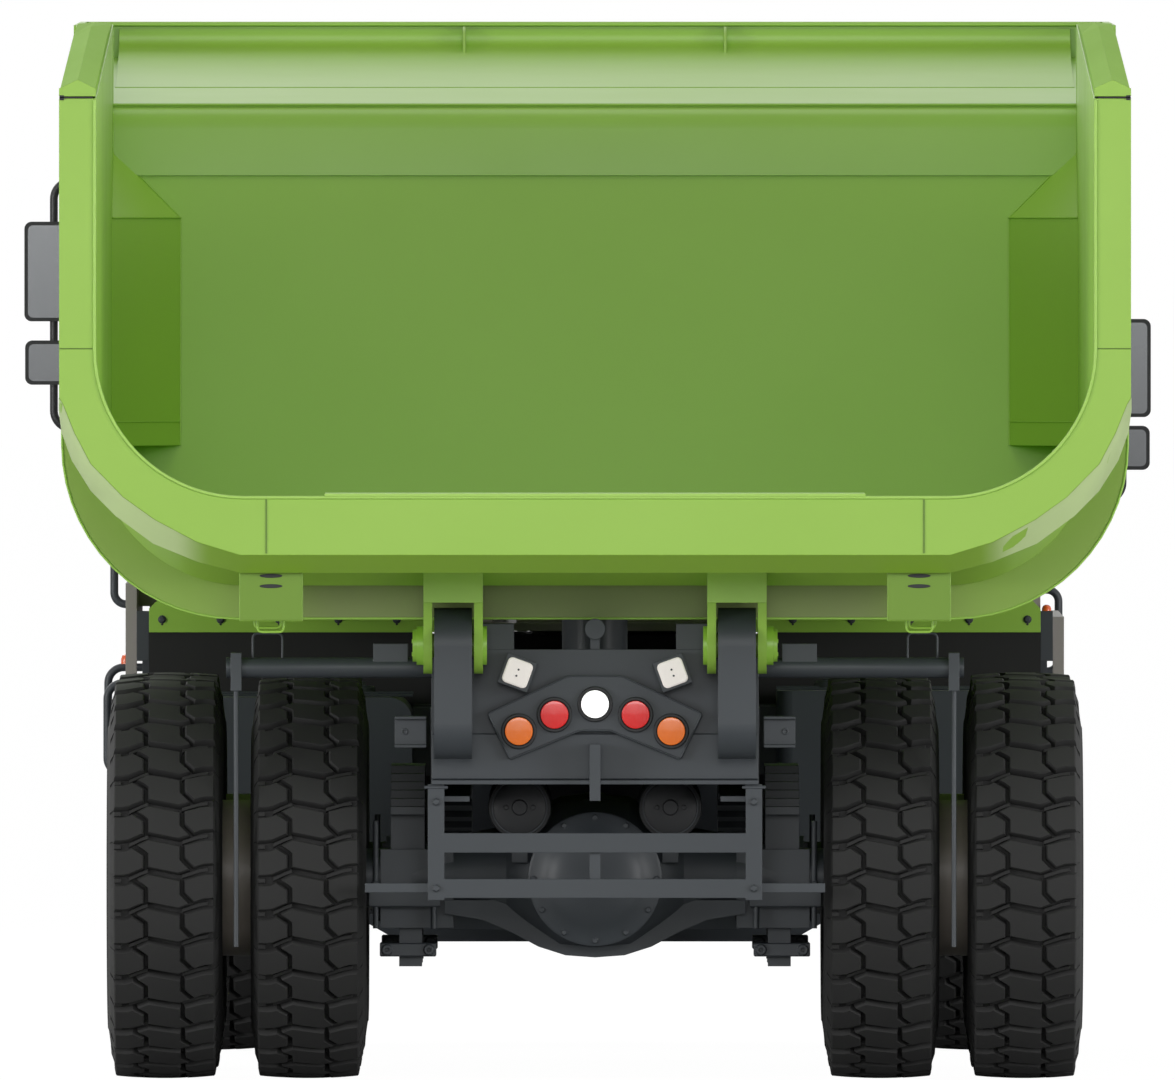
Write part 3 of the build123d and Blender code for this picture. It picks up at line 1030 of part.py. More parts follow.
def bed_canopy():
    """Rising plate over the cab with an upright lip, side plates and stiffeners under it."""
    y0, y1 = WALL_TOP_Y, CANOPY_FRONT_Y
    z0, z1 = WALL_TOP_Z, CANOPY_FRONT_Z
    plate = prism([(y0, z0), (y1, z1), (y1, CANOPY_LIP_Z), (y1 - 14, CANOPY_LIP_Z), (y1 - 14, z1 - 14),
                   (wall_y(z0 - 14), z0 - 14)], "X", -HOOP_HALF, HOOP_HALF)
    flange = block(-HOOP_HALF, HOOP_HALF, y1 - 80, y1 - 14, CANOPY_LIP_Z - 18, CANOPY_LIP_Z)
    side = prism([(y0, z0), (y0, SIDE_FRONT_Z), (y1, CANOPY_LIP_Z), (y1, z1)], "X", HOOP_HALF - 14, HOOP_HALF)
    strip = prism([(y0 + 60, z0 + 120), (y0 + 60, SIDE_FRONT_Z), (y1, CANOPY_LIP_Z), (y1, z1 - 14)], "X", HOOP_HALF,
                  HOOP_HALF + CANOPY_STRIP)
    beams = [prism([(y0 - 130, z0 - 4), (y1 + 200, z1 - 30), (y1 + 200, z1 - 90), (y0 - 130, z0 - 150)], "X", x, x + 60)
             for x in (420, 1180, 1700)]
    beams = [beam - plate for beam in beams]
    return [fuse(plate, flange, both_sides(side), both_sides(strip), *(both_sides(beam) for beam in beams))]


def sill_space():
    """Room that both sills take through the hoops."""
    x0, x1 = ARM_INNER_X, ARM_INNER_X + ARM_WIDTH
    return fuse(both_sides(block(x0, x1, WALL_FOOT_Y + 60, PIN_Y - EAR_RADIUS, RAIL_TOP_Z, BED_UNDER_Z)))


def bed_sills():
    """Box sills over the rails, each ending in two hinge ears with the hinge pin through them."""
    skin = bed_outside()
    x0, x1 = ARM_INNER_X, ARM_INNER_X + ARM_WIDTH
    sill_end = TAIL_FACE_Y - 180
    sill = block(x0, x1, WALL_FOOT_Y + 60, sill_end, RAIL_TOP_Z + SILL_GAP, BED_UNDER_Z)
    sill = sill.fuse(block(x0, x1, sill_end, PIN_Y - EAR_RADIUS, PIN_Z + ARM_RADIUS + 20, BED_UNDER_Z))
    ears = []
    rear = PIN_Y + 160
    for x in (x0 - EAR_GAP - EAR_WALL, x1 + EAR_GAP):
        web = prism([(PIN_Y - EAR_RADIUS - 35, BED_UNDER_Z), (PIN_Y - EAR_RADIUS, PIN_Z),
                     (PIN_Y + EAR_RADIUS, PIN_Z), (rear, BED_UNDER_Z + 100), (PIN_Y - EAR_RADIUS - 35, BED_UNDER_Z + 100)],
                    "X", x, x + EAR_WALL)
        ears.append(web.fuse(rod("X", EAR_RADIUS, x, x + EAR_WALL, PIN_Y, PIN_Z)))
    inner, outer = x0 - EAR_GAP - EAR_WALL, x1 + EAR_GAP + EAR_WALL
    pin = rod("X", PIN_RADIUS, inner, outer, PIN_Y, PIN_Z)
    bosses = [rod("X", 72, outer, outer + 25, PIN_Y, PIN_Z), rod("X", 60, outer + 25, outer + 40, PIN_Y, PIN_Z),
              rod("X", 72, inner - 15, inner, PIN_Y, PIN_Z)]
    cross = block(inner, outer, PIN_Y - EAR_RADIUS - 35, rear, PIN_Z + ARM_RADIUS + 20, BED_UNDER_Z + 100)
    return both_sides(fuse(sill, ears, pin, bosses, cross) - skin)


def hoist_ears():
    """Two ears on the front wall either side of the hoist's eye, each with an outboard boss."""
    gap = HOIST_EYE_WIDTH / 2 + 15
    low, high = HOIST_EYE_Z - 90, HOIST_EYE_Z + 90
    outline = [(wall_y(low), low), (HOIST_Y - 90, low), (HOIST_Y - 90, high), (wall_y(high), high)]
    ear = prism(outline, "X", gap, gap + 30)
    return both_sides(ear.fuse(rod("X", 60, gap + 30, gap + 60, HOIST_Y, HOIST_EYE_Z)))


# ---------------------------------------------------------------- hoist
def hoist_barrel():
    """Outer tube of the hoist with its closed foot and the trunnion pins it swings on."""
    foot_z = HOIST_BASE_Z - 85
    barrel = rod("Z", BARREL_RADIUS, foot_z, BARREL_TOP_Z, 0, HOIST_Y)
    barrel -= rod("Z", STAGE_OUTER_RADIUS + STAGE_GAP, foot_z + 30, BARREL_TOP_Z + 1, 0, HOIST_Y)
    pin_end = BARREL_RADIUS + 70
    pins = rod("X", HOIST_PIN_RADIUS, BARREL_RADIUS - 8, pin_end, HOIST_Y, HOIST_BASE_Z)
    pad = rod("X", HOIST_PIN_RADIUS + 20, BARREL_RADIUS - 8, BARREL_RADIUS + 30, HOIST_Y, HOIST_BASE_Z)
    return [fuse(barrel, both_sides(pins), both_sides(pad))]


def hoist_stage(number):
    """Stage counted from the outermost; the last one is the rod that ends in the eye."""
    step = STAGE_WALL + STAGE_GAP
    radius = STAGE_OUTER_RADIUS - (number - 1) * step
    foot_z = HOIST_BASE_Z - 85 + 30 + 10 * number
    collar_z = BARREL_TOP_Z + COLLAR_GAP + (number - 1) * (COLLAR_HEIGHT + COLLAR_GAP)
    if number == STAGE_COUNT:
        neck = rod("Z", radius, foot_z, HOIST_EYE_Z, 0, HOIST_Y)
        half = HOIST_EYE_WIDTH / 2
        return [neck.fuse(rod("X", HOIST_EYE_RADIUS, -half, half, HOIST_Y, HOIST_EYE_Z))]
    tube = rod("Z", radius, foot_z, collar_z + COLLAR_HEIGHT, 0, HOIST_Y)
    collar = rod("Z", radius + STAGE_WALL, collar_z, collar_z + COLLAR_HEIGHT, 0, HOIST_Y)
    bore = rod("Z", radius - STAGE_WALL, foot_z - 1, collar_z + COLLAR_HEIGHT + 1, 0, HOIST_Y)
    return [tube.fuse(collar) - bore]


# ---------------------------------------------------------------- files
def write(name, solids):
    """One STEP file for a node, with each solid given to it."""
    flat = []
    for item in solids:
        flat.extend(item.solids())
    shape = flat[0] if len(flat) == 1 else Compound(children=flat)
    export_step(shape, os.path.join("parts", f"{name}.step"))


def main():
    """Every node of the truck."""
    os.makedirs("parts", exist_ok=True)
    nodes = wheels()
    for side, hand in ((1, "left"), (-1, "right")):
        nodes[f"knuckle_{hand}"] = [sided(knuckle(), side)]
    for stage in range(1, STAGE_COUNT + 1):
        nodes[f"hoist_stage_{stage}"] = hoist_stage(stage)
    for make in (front_axle_beam, tie_rod, drive_axles, chassis_frame, tail_crossmember, underrun_guard,
                 tail_lamps, rock_ejectors, splash_panels, splash_flaps, engine_block, radiator, tanks,
                 front_bumper, headlamps, front_hood, deck_fenders, ladders_handrails, mirrors, air_cleaners,
                 exhaust_muffler, cab_shell, cab_glass, cab_interior, cab_door, cab_door_glass, bed_shell,
                 bed_hoops, bed_canopy, bed_sills, hoist_barrel):
        nodes[make.__name__] = make()
    nodes["leaf_springs"] = rear_springs() + front_springs()
    nodes["bed_hoops"] += hoist_ears()
    for name, solids in nodes.items():
        write(name, solids)


if __name__ == "__main__":
    main()
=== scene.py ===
"""Looks of a three-axle mining dump truck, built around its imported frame.

Each sub-assembly is a class that holds its sizes and builds its own meshes, and each finish is a
small frozen class that builds one material. Lengths are metres unless a name ends in _mm.
"""
from __future__ import annotations

import json
import logging
import math
from dataclasses import dataclass, field
from enum import Enum
from typing import Iterable, Sequence

import bpy
import numpy as np
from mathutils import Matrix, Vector

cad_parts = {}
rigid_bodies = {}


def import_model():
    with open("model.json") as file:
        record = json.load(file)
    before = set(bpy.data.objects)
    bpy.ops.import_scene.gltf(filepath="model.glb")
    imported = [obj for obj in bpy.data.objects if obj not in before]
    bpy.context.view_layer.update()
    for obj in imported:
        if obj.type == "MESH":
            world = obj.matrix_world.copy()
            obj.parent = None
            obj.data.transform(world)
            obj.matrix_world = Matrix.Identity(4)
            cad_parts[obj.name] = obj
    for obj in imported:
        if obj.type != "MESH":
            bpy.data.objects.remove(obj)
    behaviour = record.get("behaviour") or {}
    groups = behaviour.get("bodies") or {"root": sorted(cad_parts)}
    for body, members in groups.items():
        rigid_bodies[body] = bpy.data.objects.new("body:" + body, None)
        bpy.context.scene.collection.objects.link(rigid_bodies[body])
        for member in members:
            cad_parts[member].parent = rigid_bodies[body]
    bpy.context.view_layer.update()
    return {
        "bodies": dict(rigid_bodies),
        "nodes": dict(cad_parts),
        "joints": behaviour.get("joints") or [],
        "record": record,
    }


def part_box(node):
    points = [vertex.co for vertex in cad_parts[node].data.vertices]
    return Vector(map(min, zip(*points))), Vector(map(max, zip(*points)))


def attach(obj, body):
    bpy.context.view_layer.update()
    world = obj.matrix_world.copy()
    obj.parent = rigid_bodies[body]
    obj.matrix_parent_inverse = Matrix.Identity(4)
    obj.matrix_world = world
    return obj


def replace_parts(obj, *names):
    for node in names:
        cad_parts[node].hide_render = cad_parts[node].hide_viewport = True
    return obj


LOG = logging.getLogger("dump_truck")
MM = 0.001
HANDS = (-1, 1)
Point = Sequence[float]
Line = Sequence[Point]


# ---------------------------------------------------------------- colour and nodes
def linear(code: str) -> tuple[float, float, float, float]:
    """Turns an sRGB hex colour into linear values.

    Args:
        code: Colour as "#rrggbb".

    Returns:
        Red, green and blue, linear, and an alpha of 1.
    """
    channels = [int(code[i : i + 2], 16) / 255 for i in (1, 3, 5)]
    red, green, blue = (c / 12.92 if c <= 0.04045 else ((c + 0.055) / 1.055) ** 2.4 for c in channels)
    return red, green, blue, 1.0


class Nodes:
    """Node tree of a new material or world, emptied but for its output.

    Args:
        owner: The material or world.
        kind: Material or World.
    """

    def __init__(self, owner: bpy.types.ID, kind: str = "Material") -> None:
        """Empties the tree of the owner and gives it an output.

        Args:
            owner: The material or world.
            kind: Material or World.
        """
        owner.use_nodes = True
        self.owner = owner
        self.tree = owner.node_tree
        self.tree.nodes.clear()
        self.output = self.add("Output" + kind)

    def add(self, kind: str, inputs: dict | None = None, **settings) -> bpy.types.Node:
        """Adds one node with its settings and inputs.

        Args:
            kind: Node type without ShaderNode, such as TexNoise.
            inputs: Input name or number to an output socket, or to a plain value for that input.
            settings: Properties set on the node itself.

        Returns:
            The new node.
        """
        made = self.tree.nodes.new("ShaderNode" + kind)
        for name, value in settings.items():
            setattr(made, name, value)
        for key, value in (inputs or {}).items():
            if isinstance(value, bpy.types.NodeSocket):
                self.tree.links.new(value, made.inputs[key])
            else:
                made.inputs[key].default_value = value
        return made

    def place(self) -> bpy.types.NodeSocket:
        """Returns the place on the object."""
        return self.add("TexCoord").outputs["Object"]

    def noise(self, spacing_mm: float, detail: float) -> bpy.types.NodeSocket:
        """Returns the level of a noise over the object.

        Args:
            spacing_mm: Its spacing.
            detail: Number of finer octaves in it.
        """
        inputs = {"Vector": self.place(), "Scale": 1000 / spacing_mm, "Detail": detail}
        return self.add("TexNoise", inputs).outputs["Fac"]

    def math(self, operation: str, *values: bpy.types.NodeSocket | float) -> bpy.types.NodeSocket:
        """Returns the result of a sum on values.

        Args:
            operation: Name of the operation.
            values: What it works on.
        """
        return self.add("Math", dict(enumerate(values)), operation=operation).outputs[0]

    def span(self, value: bpy.types.NodeSocket, low: float, high: float, start: float = 0.0, stop: float = 1.0,
             **settings) -> bpy.types.NodeSocket:
        """Returns a value carried from one range to another.

        Args:
            value: The value.
            low: Result at the range's start.
            high: Result at its stop.
            start: Start of the value's range.
            stop: Stop of the value's range.
            settings: Properties set on the node.
        """
        inputs = {"Value": value, "From Min": start, "From Max": stop, "To Min": low, "To Max": high}
        return self.add("MapRange", inputs, **settings).outputs["Result"]

    def mix(self, share: bpy.types.NodeSocket, first, second) -> bpy.types.NodeSocket:
        """Returns a mix of two colours, each a socket or a value.

        Args:
            share: Share of the second colour.
            first: First colour.
            second: Second colour.
        """
        return self.add("Mix", {"Factor": share, 6: first, 7: second}, data_type="RGBA").outputs[2]

    def bump(self, height: bpy.types.NodeSocket, strength: float, depth_mm: float, **more) -> bpy.types.NodeSocket:
        """Returns the normal of a surface with a relief.

        Args:
            height: Level of the relief.
            strength: Its strength.
            depth_mm: Its depth.
            more: Further inputs, such as the normal that it starts from.
        """
        inputs = {"Height": height, "Strength": strength, "Distance": depth_mm * MM, **more}
        return self.add("Bump", inputs).outputs["Normal"]

    def finish(self, shader: bpy.types.Node) -> bpy.types.ID:
        """Joins a shader to the output.

        Args:
            shader: The shader's node.

        Returns:
            The material or world.
        """
        self.tree.links.new(shader.outputs[0], self.output.inputs["Surface"])
        return self.owner


# ---------------------------------------------------------------- finishes
@dataclass(frozen=True)
class SprayedPaint:
    """Two-pack enamel sprayed on welded plate: even colour, faint orange peel, and on some finishes painted light and
    shade across the width.

    Args:
        name: Material name.
        colour: Colour of the paint.
        shade: Colour that dust and soft shading pull it towards.
        roughness: Mean roughness of the coat.
        peel_mm: Spacing of the orange peel. Real peel is about 2 mm and is drawn coarser to show.
        mottle_mm: Spacing of the slow change in colour over a plate.
        mottle: Strength of that change.
        coat: Weight of the clear gloss over the colour.
        edge_mm: Radius of the rounded look along plate edges.
        fade: Distances from the middle between which the colour turns into the far one, or None.
        far: Colour beyond them, which is painted light: the skirt's painted sky reflection, and the hoop web's
            lighter, less shaded sides.
    """

    name: str
    colour: str
    shade: str
    roughness: float = 0.42
    peel_mm: float = 9.0
    mottle_mm: float = 900.0
    mottle: float = 0.35
    coat: float = 0.15
    edge_mm: float = 4.0
    fade: tuple[float, float] | None = None
    far: str = "#ffffff"

    def build(self) -> bpy.types.Material:
        """Builds the paint."""
        nodes = Nodes(bpy.data.materials.new(self.name))
        slow = nodes.noise(self.mottle_mm, 4.0)
        colour = nodes.mix(nodes.span(slow, 0.0, self.mottle, 0.35, 0.7), linear(self.colour), linear(self.shade))
        # Painted light: the colour turns into the far one with distance from the middle (the skirt's painted sky
        # reflection, the hoop web's less shaded sides).
        if self.fade:
            across = nodes.math("ABSOLUTE", nodes.add("SeparateXYZ", {"Vector": nodes.place()}).outputs["X"])
            share = nodes.span(across, 0.0, 1.0, *self.fade, interpolation_type="SMOOTHSTEP")
            colour = nodes.mix(share, colour, linear(self.far))
        edge = nodes.add("Bevel", {"Radius": self.edge_mm * MM}, samples=4).outputs["Normal"]
        return nodes.finish(nodes.add("BsdfPrincipled", {
            "Base Color": colour,
            "Roughness": nodes.span(slow, self.roughness - 0.06, self.roughness + 0.08),
            "Normal": nodes.bump(nodes.noise(self.peel_mm, 2.0), 0.05, 0.6, Normal=edge),
            "Coat Weight": self.coat,
            "Coat Roughness": 0.25,
        }))


@dataclass(frozen=True)
class CuredRubber:
    """Black tyre rubber cured in a mould: nearly matt, a little greyer where it has been handled and dusted.

    Args:
        name: Material name.
        colour: Colour of clean rubber.
        dusty: Colour of the thin dust on it.
        roughness: Mean roughness.
        grain_mm: Spacing of the moulded grain, drawn coarse enough to show.
    """

    name: str
    colour: str = "#161616"
    dusty: str = "#1e1e1e"
    roughness: float = 0.78
    grain_mm: float = 5.0

    def build(self) -> bpy.types.Material:
        """Builds the rubber."""
        nodes = Nodes(bpy.data.materials.new(self.name))
        share = nodes.span(nodes.noise(250.0, 5.0), 0.0, 0.5, 0.4, 0.75)
        return nodes.finish(nodes.add("BsdfPrincipled", {
            "Base Color": nodes.mix(share, linear(self.colour), linear(self.dusty)),
            "Roughness": self.roughness,
            "Normal": nodes.bump(nodes.noise(self.grain_mm, 3.0), 0.12, 0.8),
        }))


@dataclass(frozen=True)
class LampLens:
    """Moulded acrylic lens: strong colour, gloss, and the prisms of its inner face as a fine ribbing.

    Args:
        name: Material name.
        colour: Colour of the lens.
        glow: Strength of the light that it gives, 0 for an unlit one.
        rib_mm: Spacing of the prisms.
    """

    name: str
    colour: str
    glow: float = 0.0
    rib_mm: float = 7.0

    def build(self) -> bpy.types.Material:
        """Builds the lens."""
        nodes = Nodes(bpy.data.materials.new(self.name))
        ribs = nodes.add("TexWave", {"Vector": nodes.place(), "Scale": 1000 / self.rib_mm / 6.283,
                                     "Distortion": 0.0}, bands_direction="X").outputs["Fac"]
        return nodes.finish(nodes.add("BsdfPrincipled", {
            "Base Color": linear(self.colour),
            "Roughness": 0.22,
            "Normal": nodes.bump(ribs, 0.15, 0.8),
            "Coat Weight": 0.4,
            "Emission Color": linear(self.colour),
            "Emission Strength": self.glow,
        }))


@dataclass(frozen=True)
class FloatGlass:
    """Toughened float glass, lightly tinted and nearly clear.

    Args:
        name: Material name.
        tint: Colour of the glass body.
        clear: Share of light that goes straight through.
    """

    name: str
    tint: str = "#8d9a98"
    clear: float = 0.55

    def build(self) -> bpy.types.Material:
        """Builds the glass as a see-through coat over a dark tint."""
        nodes = Nodes(bpy.data.materials.new(self.name))
        return nodes.finish(nodes.add("BsdfPrincipled", {
            "Base Color": linear(self.tint), "Roughness": 0.05, "Alpha": 1.0 - self.clear, "Coat Weight": 0.5}))


@dataclass(frozen=True)
class BareMetal:
    """Bare metal with a ground, chromed or heat-dulled surface.

    Args:
        name: Material name.
        colour: Colour of the metal.
        roughness: Mean roughness.
        grain_mm: Spacing of the grinding marks along the surface.
    """

    name: str
    colour: str = "#a9a9a7"
    roughness: float = 0.3
    grain_mm: float = 3.0

    def build(self) -> bpy.types.Material:
        """Builds the metal."""
        nodes = Nodes(bpy.data.materials.new(self.name))
        rough = nodes.span(nodes.noise(self.grain_mm, 2.0), self.roughness - 0.05, self.roughness + 0.08)
        return nodes.finish(nodes.add("BsdfPrincipled", {
            "Base Color": linear(self.colour), "Metallic": 1.0, "Roughness": rough}))


class Colour(Enum):
    """Finishes used on the truck, one member each."""

    LIME = SprayedPaint("lime_enamel", "#94c044", "#8dba40", roughness=0.38)
    # Painted highlight: a lighter copy of the lime on the rim's skin edge, the floor's wear plate and the last hoop's
    # flange.
    EDGE = SprayedPaint("lime_edge_painted_highlight_enamel", "#a3cf5a", "#9cc953", roughness=0.4)
    # Painted shade: a darker lime along the rim's weld seams, standing for the shade in the seams.
    SEAM = SprayedPaint("lime_painted_seam_shade_enamel", "#5d7c2c", "#557326", roughness=0.6, coat=0.0)
    MATT = SprayedPaint("lime_matt_enamel", "#8ab83f", "#84b13a", roughness=0.9, coat=0.0)
    # Painted light: a darker lime for the skirt's painted shade, turning into a pale painted sky reflection at its
    # sides.
    SKIRT = SprayedPaint("lime_skirt_painted_reflection_enamel", "#82aa30", "#7ca42c", roughness=0.4, fade=(1.41, 1.56), far="#bfd596")
    # Painted shade: the last hoop's web plate is darker and greyer for the shade deep under the body, most of all in
    # the middle.
    WEB = SprayedPaint("lime_painted_shade_enamel", "#818f55", "#79874e", roughness=0.6, fade=(0.9, 1.5), far="#8bab4a")
    BOX = SprayedPaint("lime_shaded_enamel", "#6c9024", "#658820", roughness=0.5)
    SLATE = SprayedPaint("slate_enamel", "#373c41", "#32363b", roughness=0.5, coat=0.05)
    WARM_GREY = SprayedPaint("warm_grey_enamel", "#9b9591", "#8b8580", roughness=0.45)
    RIM = SprayedPaint("rim_enamel", "#8a8279", "#6f685f", roughness=0.5, mottle_mm=200.0, mottle=0.6)
    DARK = SprayedPaint("black_enamel", "#202124", "#2a2a2b", roughness=0.55, coat=0.0)
    TYRE = CuredRubber("tyre_rubber")
    FLAP = CuredRubber("flap_rubber", "#1c1c1a", "#26251f", roughness=0.75)
    TRIM = CuredRubber("moulded_black_plastic", "#1e1f21", "#2b2c2e", roughness=0.45, grain_mm=2.0)
    CHROME = BareMetal("ground_chrome", "#b9babb", 0.16)
    EXHAUST = BareMetal("heat_dulled_steel", "#7c756c", 0.45)
    GLASS = FloatGlass("tinted_float_glass")
    MIRROR = BareMetal("silvered_glass", "#8d8f91", 0.05)
    RED = LampLens("red_acrylic", "#cf1a1a", glow=0.22)
    ORANGE = LampLens("orange_acrylic", "#e06c12", glow=0.24)
    MARKER = LampLens("marker_acrylic", "#ff6a2a")
    CREAM = LampLens("frosted_acrylic", "#d6d0cb", glow=0.5)
    WHITE = LampLens("lit_white_acrylic", "#ffffff", glow=0.6)
    CLEAR = LampLens("clear_acrylic", "#cfc9c5")

    def material(self) -> bpy.types.Material:
        """Returns this finish's material, built once."""
        return bpy.data.materials.get(self.value.name) or self.value.build()


# ---------------------------------------------------------------- meshes
@dataclass
class Form:
    """Vertices and faces of one piece while it is put together. Its methods that add something return it.

    Args:
        points: Blocks of vertices, each an (n, 3) array.
        faces: Blocks of faces, each an (m, k) array of indices into all vertices so far.
    """

    points: list[np.ndarray] = field(default_factory=list)
    faces: list[np.ndarray] = field(default_factory=list)

    def count(self) -> int:
        """Returns how many vertices there are so far."""
        return sum(len(block) for block in self.points)

    def add(self, points: np.ndarray, *faces: np.ndarray) -> "Form":
        """Adds vertices with faces that index them from 0.

        Args:
            points: (n, 3) array.
            faces: (m, k) arrays of indices into points.
        """
        first = self.count()
        self.points.append(np.asarray(points, float).reshape(-1, 3))
        self.faces.extend(np.asarray(block, int) + first for block in faces)
        return self

    def merge(self, other: "Form", turn: np.ndarray | None = None, move: Point = (0, 0, 0)) -> "Form":
        """Adds a copy of another form, turned and then moved.

        Args:
            other: Form to copy.
            turn: 3 by 3 rotation, or None.
            move: Offset after the turn.
        """
        first = self.count()
        for block in other.points:
            placed = block if turn is None else block @ turn.T
            self.points.append(placed + np.asarray(move, float))
        self.faces.extend(block + first for block in other.faces)
        return self

    def row(self, other: "Form", places: Iterable[Point], axis: str = "z") -> "Form":
        """Adds copies of a form that stands on Z = 0, each at a place and turned to stand along an axis.

        Args:
            other: The form to repeat.
            places: Points that the copies stand on.
            axis: Direction that the form's +Z turns to.
        """
        for place in places:
            self.merge(other, basis(axis), place)
        return self

    def blocks(self, low: Point, high: Point, bevel: float) -> "Form":
        """Adds a bevelled block on the left side and its mirror image on the right.

        Args:
            low: Corner nearest the middle and lowest.
            high: Corner farthest from the middle and highest.
            bevel: Width of the bevel.
        """
        for side in HANDS:
            x0, x1 = sorted((side * low[0], side * high[0]))
            self.merge(box_form((x0, *low[1:]), (x1, *high[1:]), bevel))
        return self

    def rods(self, path: Line, radius: float, sides: int, bend: float = 0.0) -> "Form":
        """Adds a round bar on the left side and its mirror image on the right.

        Args:
            path: Corners of the bar's path.
            radius: Its radius.
            sides: Number of facets round it.
            bend: Length cut from each side of a corner, as in tube.
        """
        for side in HANDS:
            self.merge(tube([(side * x, y, z) for x, y, z in path], radius, sides, bend))
        return self

    def grid(self, points: np.ndarray, close_u: bool = False, close_v: bool = False, flip: bool = False) -> "Form":
        """Adds a surface point(u, v) sampled on a grid, as quads between neighbours.

        Args:
            points: (u, v, 3) array.
            close_u: Whether the last row joins the first.
            close_v: Whether the last column joins the first.
            flip: Whether the faces turn over.
        """
        index = np.arange(points.shape[0] * points.shape[1]).reshape(points.shape[:2])
        index = np.vstack([index, index[:1]]) if close_u else index
        index = np.hstack([index, index[:, :1]]) if close_v else index
        return self.add(points.reshape(-1, 3), cells(index)[:, ::-1] if flip else cells(index))

    def make(self, name: str, colour: Colour, body: str, slot: str, smooth: float | None = None) -> bpy.types.Object:
        """Turns the form into an object that rides on a body.

        Args:
            name: Name of the piece.
            colour: Its finish.
            body: Body of the frame that it rides on.
            slot: Material slot of the record that its finish belongs to; not used.
            smooth: Angle in degrees under which neighbouring faces shade as one, or None for flat shading.

        Returns:
            The object.
        """
        mesh = bpy.data.meshes.new(name)
        points = np.vstack(self.points)
        mesh.from_pydata(points.tolist(), [], [face for block in self.faces for face in block.tolist()])
        mesh.materials.append(colour.material())
        if smooth is not None:
            mesh.shade_smooth()
            mesh.set_sharp_from_angle(angle=math.radians(smooth))
        piece = bpy.data.objects.new(name, mesh)
        bpy.context.scene.collection.objects.link(piece)
        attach(piece, body)
        LOG.info("%s: %d vertices", name, len(points))
        return piece


def cells(index: np.ndarray) -> np.ndarray:
    """Returns the quads between neighbours of a grid of vertex numbers.

    Args:
        index: (u, v) array of vertex numbers.
    """
    return np.stack([index[:-1, :-1], index[1:, :-1], index[1:, 1:], index[:-1, 1:]], -1).reshape(-1, 4)


def basis(axis: str) -> np.ndarray:
    """Returns the rotation that carries +Z to a named axis.

    Args:
        axis: One of x, y, z, -x, -y or -z.

    Returns:
        3 by 3 rotation, its columns the images of X, Y and Z.
    """
    sign = -1.0 if axis[0] == "-" else 1.0
    main = "xyz".index(axis[-1])
    columns = np.zeros((3, 3))
    columns[main, 2] = columns[(main + 2) % 3, 1] = sign
    columns[(main + 1) % 3, 0] = 1.0
    return columns


def circle(centre: Point, radius: float, count: int, axis: str, start: float = 0.0) -> list[tuple]:
    """Returns points spaced evenly round a circle.

    Args:
        centre: Centre of the circle.
        radius: Its radius.
        count: Number of points.
        axis: Axis of the circle, x or y with any sign.
        start: Angle of the first point in degrees, from +Y about X or from +X about Y.
    """
    x, y, z = centre
    turns = np.radians(start + np.arange(count) * 360 / count)
    if axis[-1] == "x":
        return [(x, y + radius * math.cos(a), z + radius * math.sin(a)) for a in turns]
    return [(x + radius * math.cos(a), y, z + radius * math.sin(a)) for a in turns]


def lathe(profile: Line, sides: int = 32, closed: bool = False) -> Form:
    """Turned surface about Z: point(t, a) = (r(t) cos a, r(t) sin a, z(t)).

    Args:
        profile: (radius, height) pairs from bottom to top on the outside. Ends at radius 0 close the form.
        sides: Number of facets round it.
        closed: Whether the profile is a ring that joins its own start.

    Returns:
        The form.
    """
    line = np.asarray(profile, float)
    angle = np.arange(sides) * 2 * math.pi / sides
    ring = np.stack([np.cos(angle), np.sin(angle), np.ones(sides)], -1)
    scale = np.stack([line[:, 0], line[:, 0], line[:, 1]], -1)
    return Form().grid(scale[:, None, :] * ring[None, :, :], close_u=closed, close_v=True, flip=True)


def slab(outline: Line, low: float, high: float, bevel: float = 0.0) -> Form:
    """Flat plate with an outline in X and Y and bevelled rims: the outline is carried up Z, and each rim
    is drawn in along the mean of the two edge normals by the bevel.

    Args:
        outline: (x, y) corners, anticlockwise.
        low: Bottom height.
        high: Top height.
        bevel: Width of the bevel on both rims.

    Returns:
        The form.
    """
    line = np.asarray(outline, float)
    inner = shrunk(line, bevel)
    levels = [(inner, low), (line, low + bevel), (line, high - bevel), (inner, high)]
    rows = np.stack([np.column_stack([ring, np.full(len(ring), level)]) for ring, level in levels])
    form = Form().grid(rows, close_v=True, flip=True)
    first = np.arange(len(line))[None, :]
    form.faces += [first[:, ::-1], first + 3 * len(line)]
    return form


def shrunk(line: np.ndarray, by: float) -> np.ndarray:
    """Closed outline with every edge moved inwards by the same distance.

    Args:
        line: (n, 2) corners, anticlockwise.
        by: Distance.

    Returns:
        (n, 2) corners, where each is line + by (n1 + n2) / (1 + n1 . n2) for its two inward normals.
    """
    ahead = np.roll(line, -1, 0) - line
    ahead /= np.linalg.norm(ahead, axis=1, keepdims=True)
    after = np.stack([-ahead[:, 1], ahead[:, 0]], -1)
    before = np.roll(after, 1, 0)
    share = 1 + np.sum(after * before, 1, keepdims=True)
    return line + by * (after + before) / np.maximum(share, 0.2)


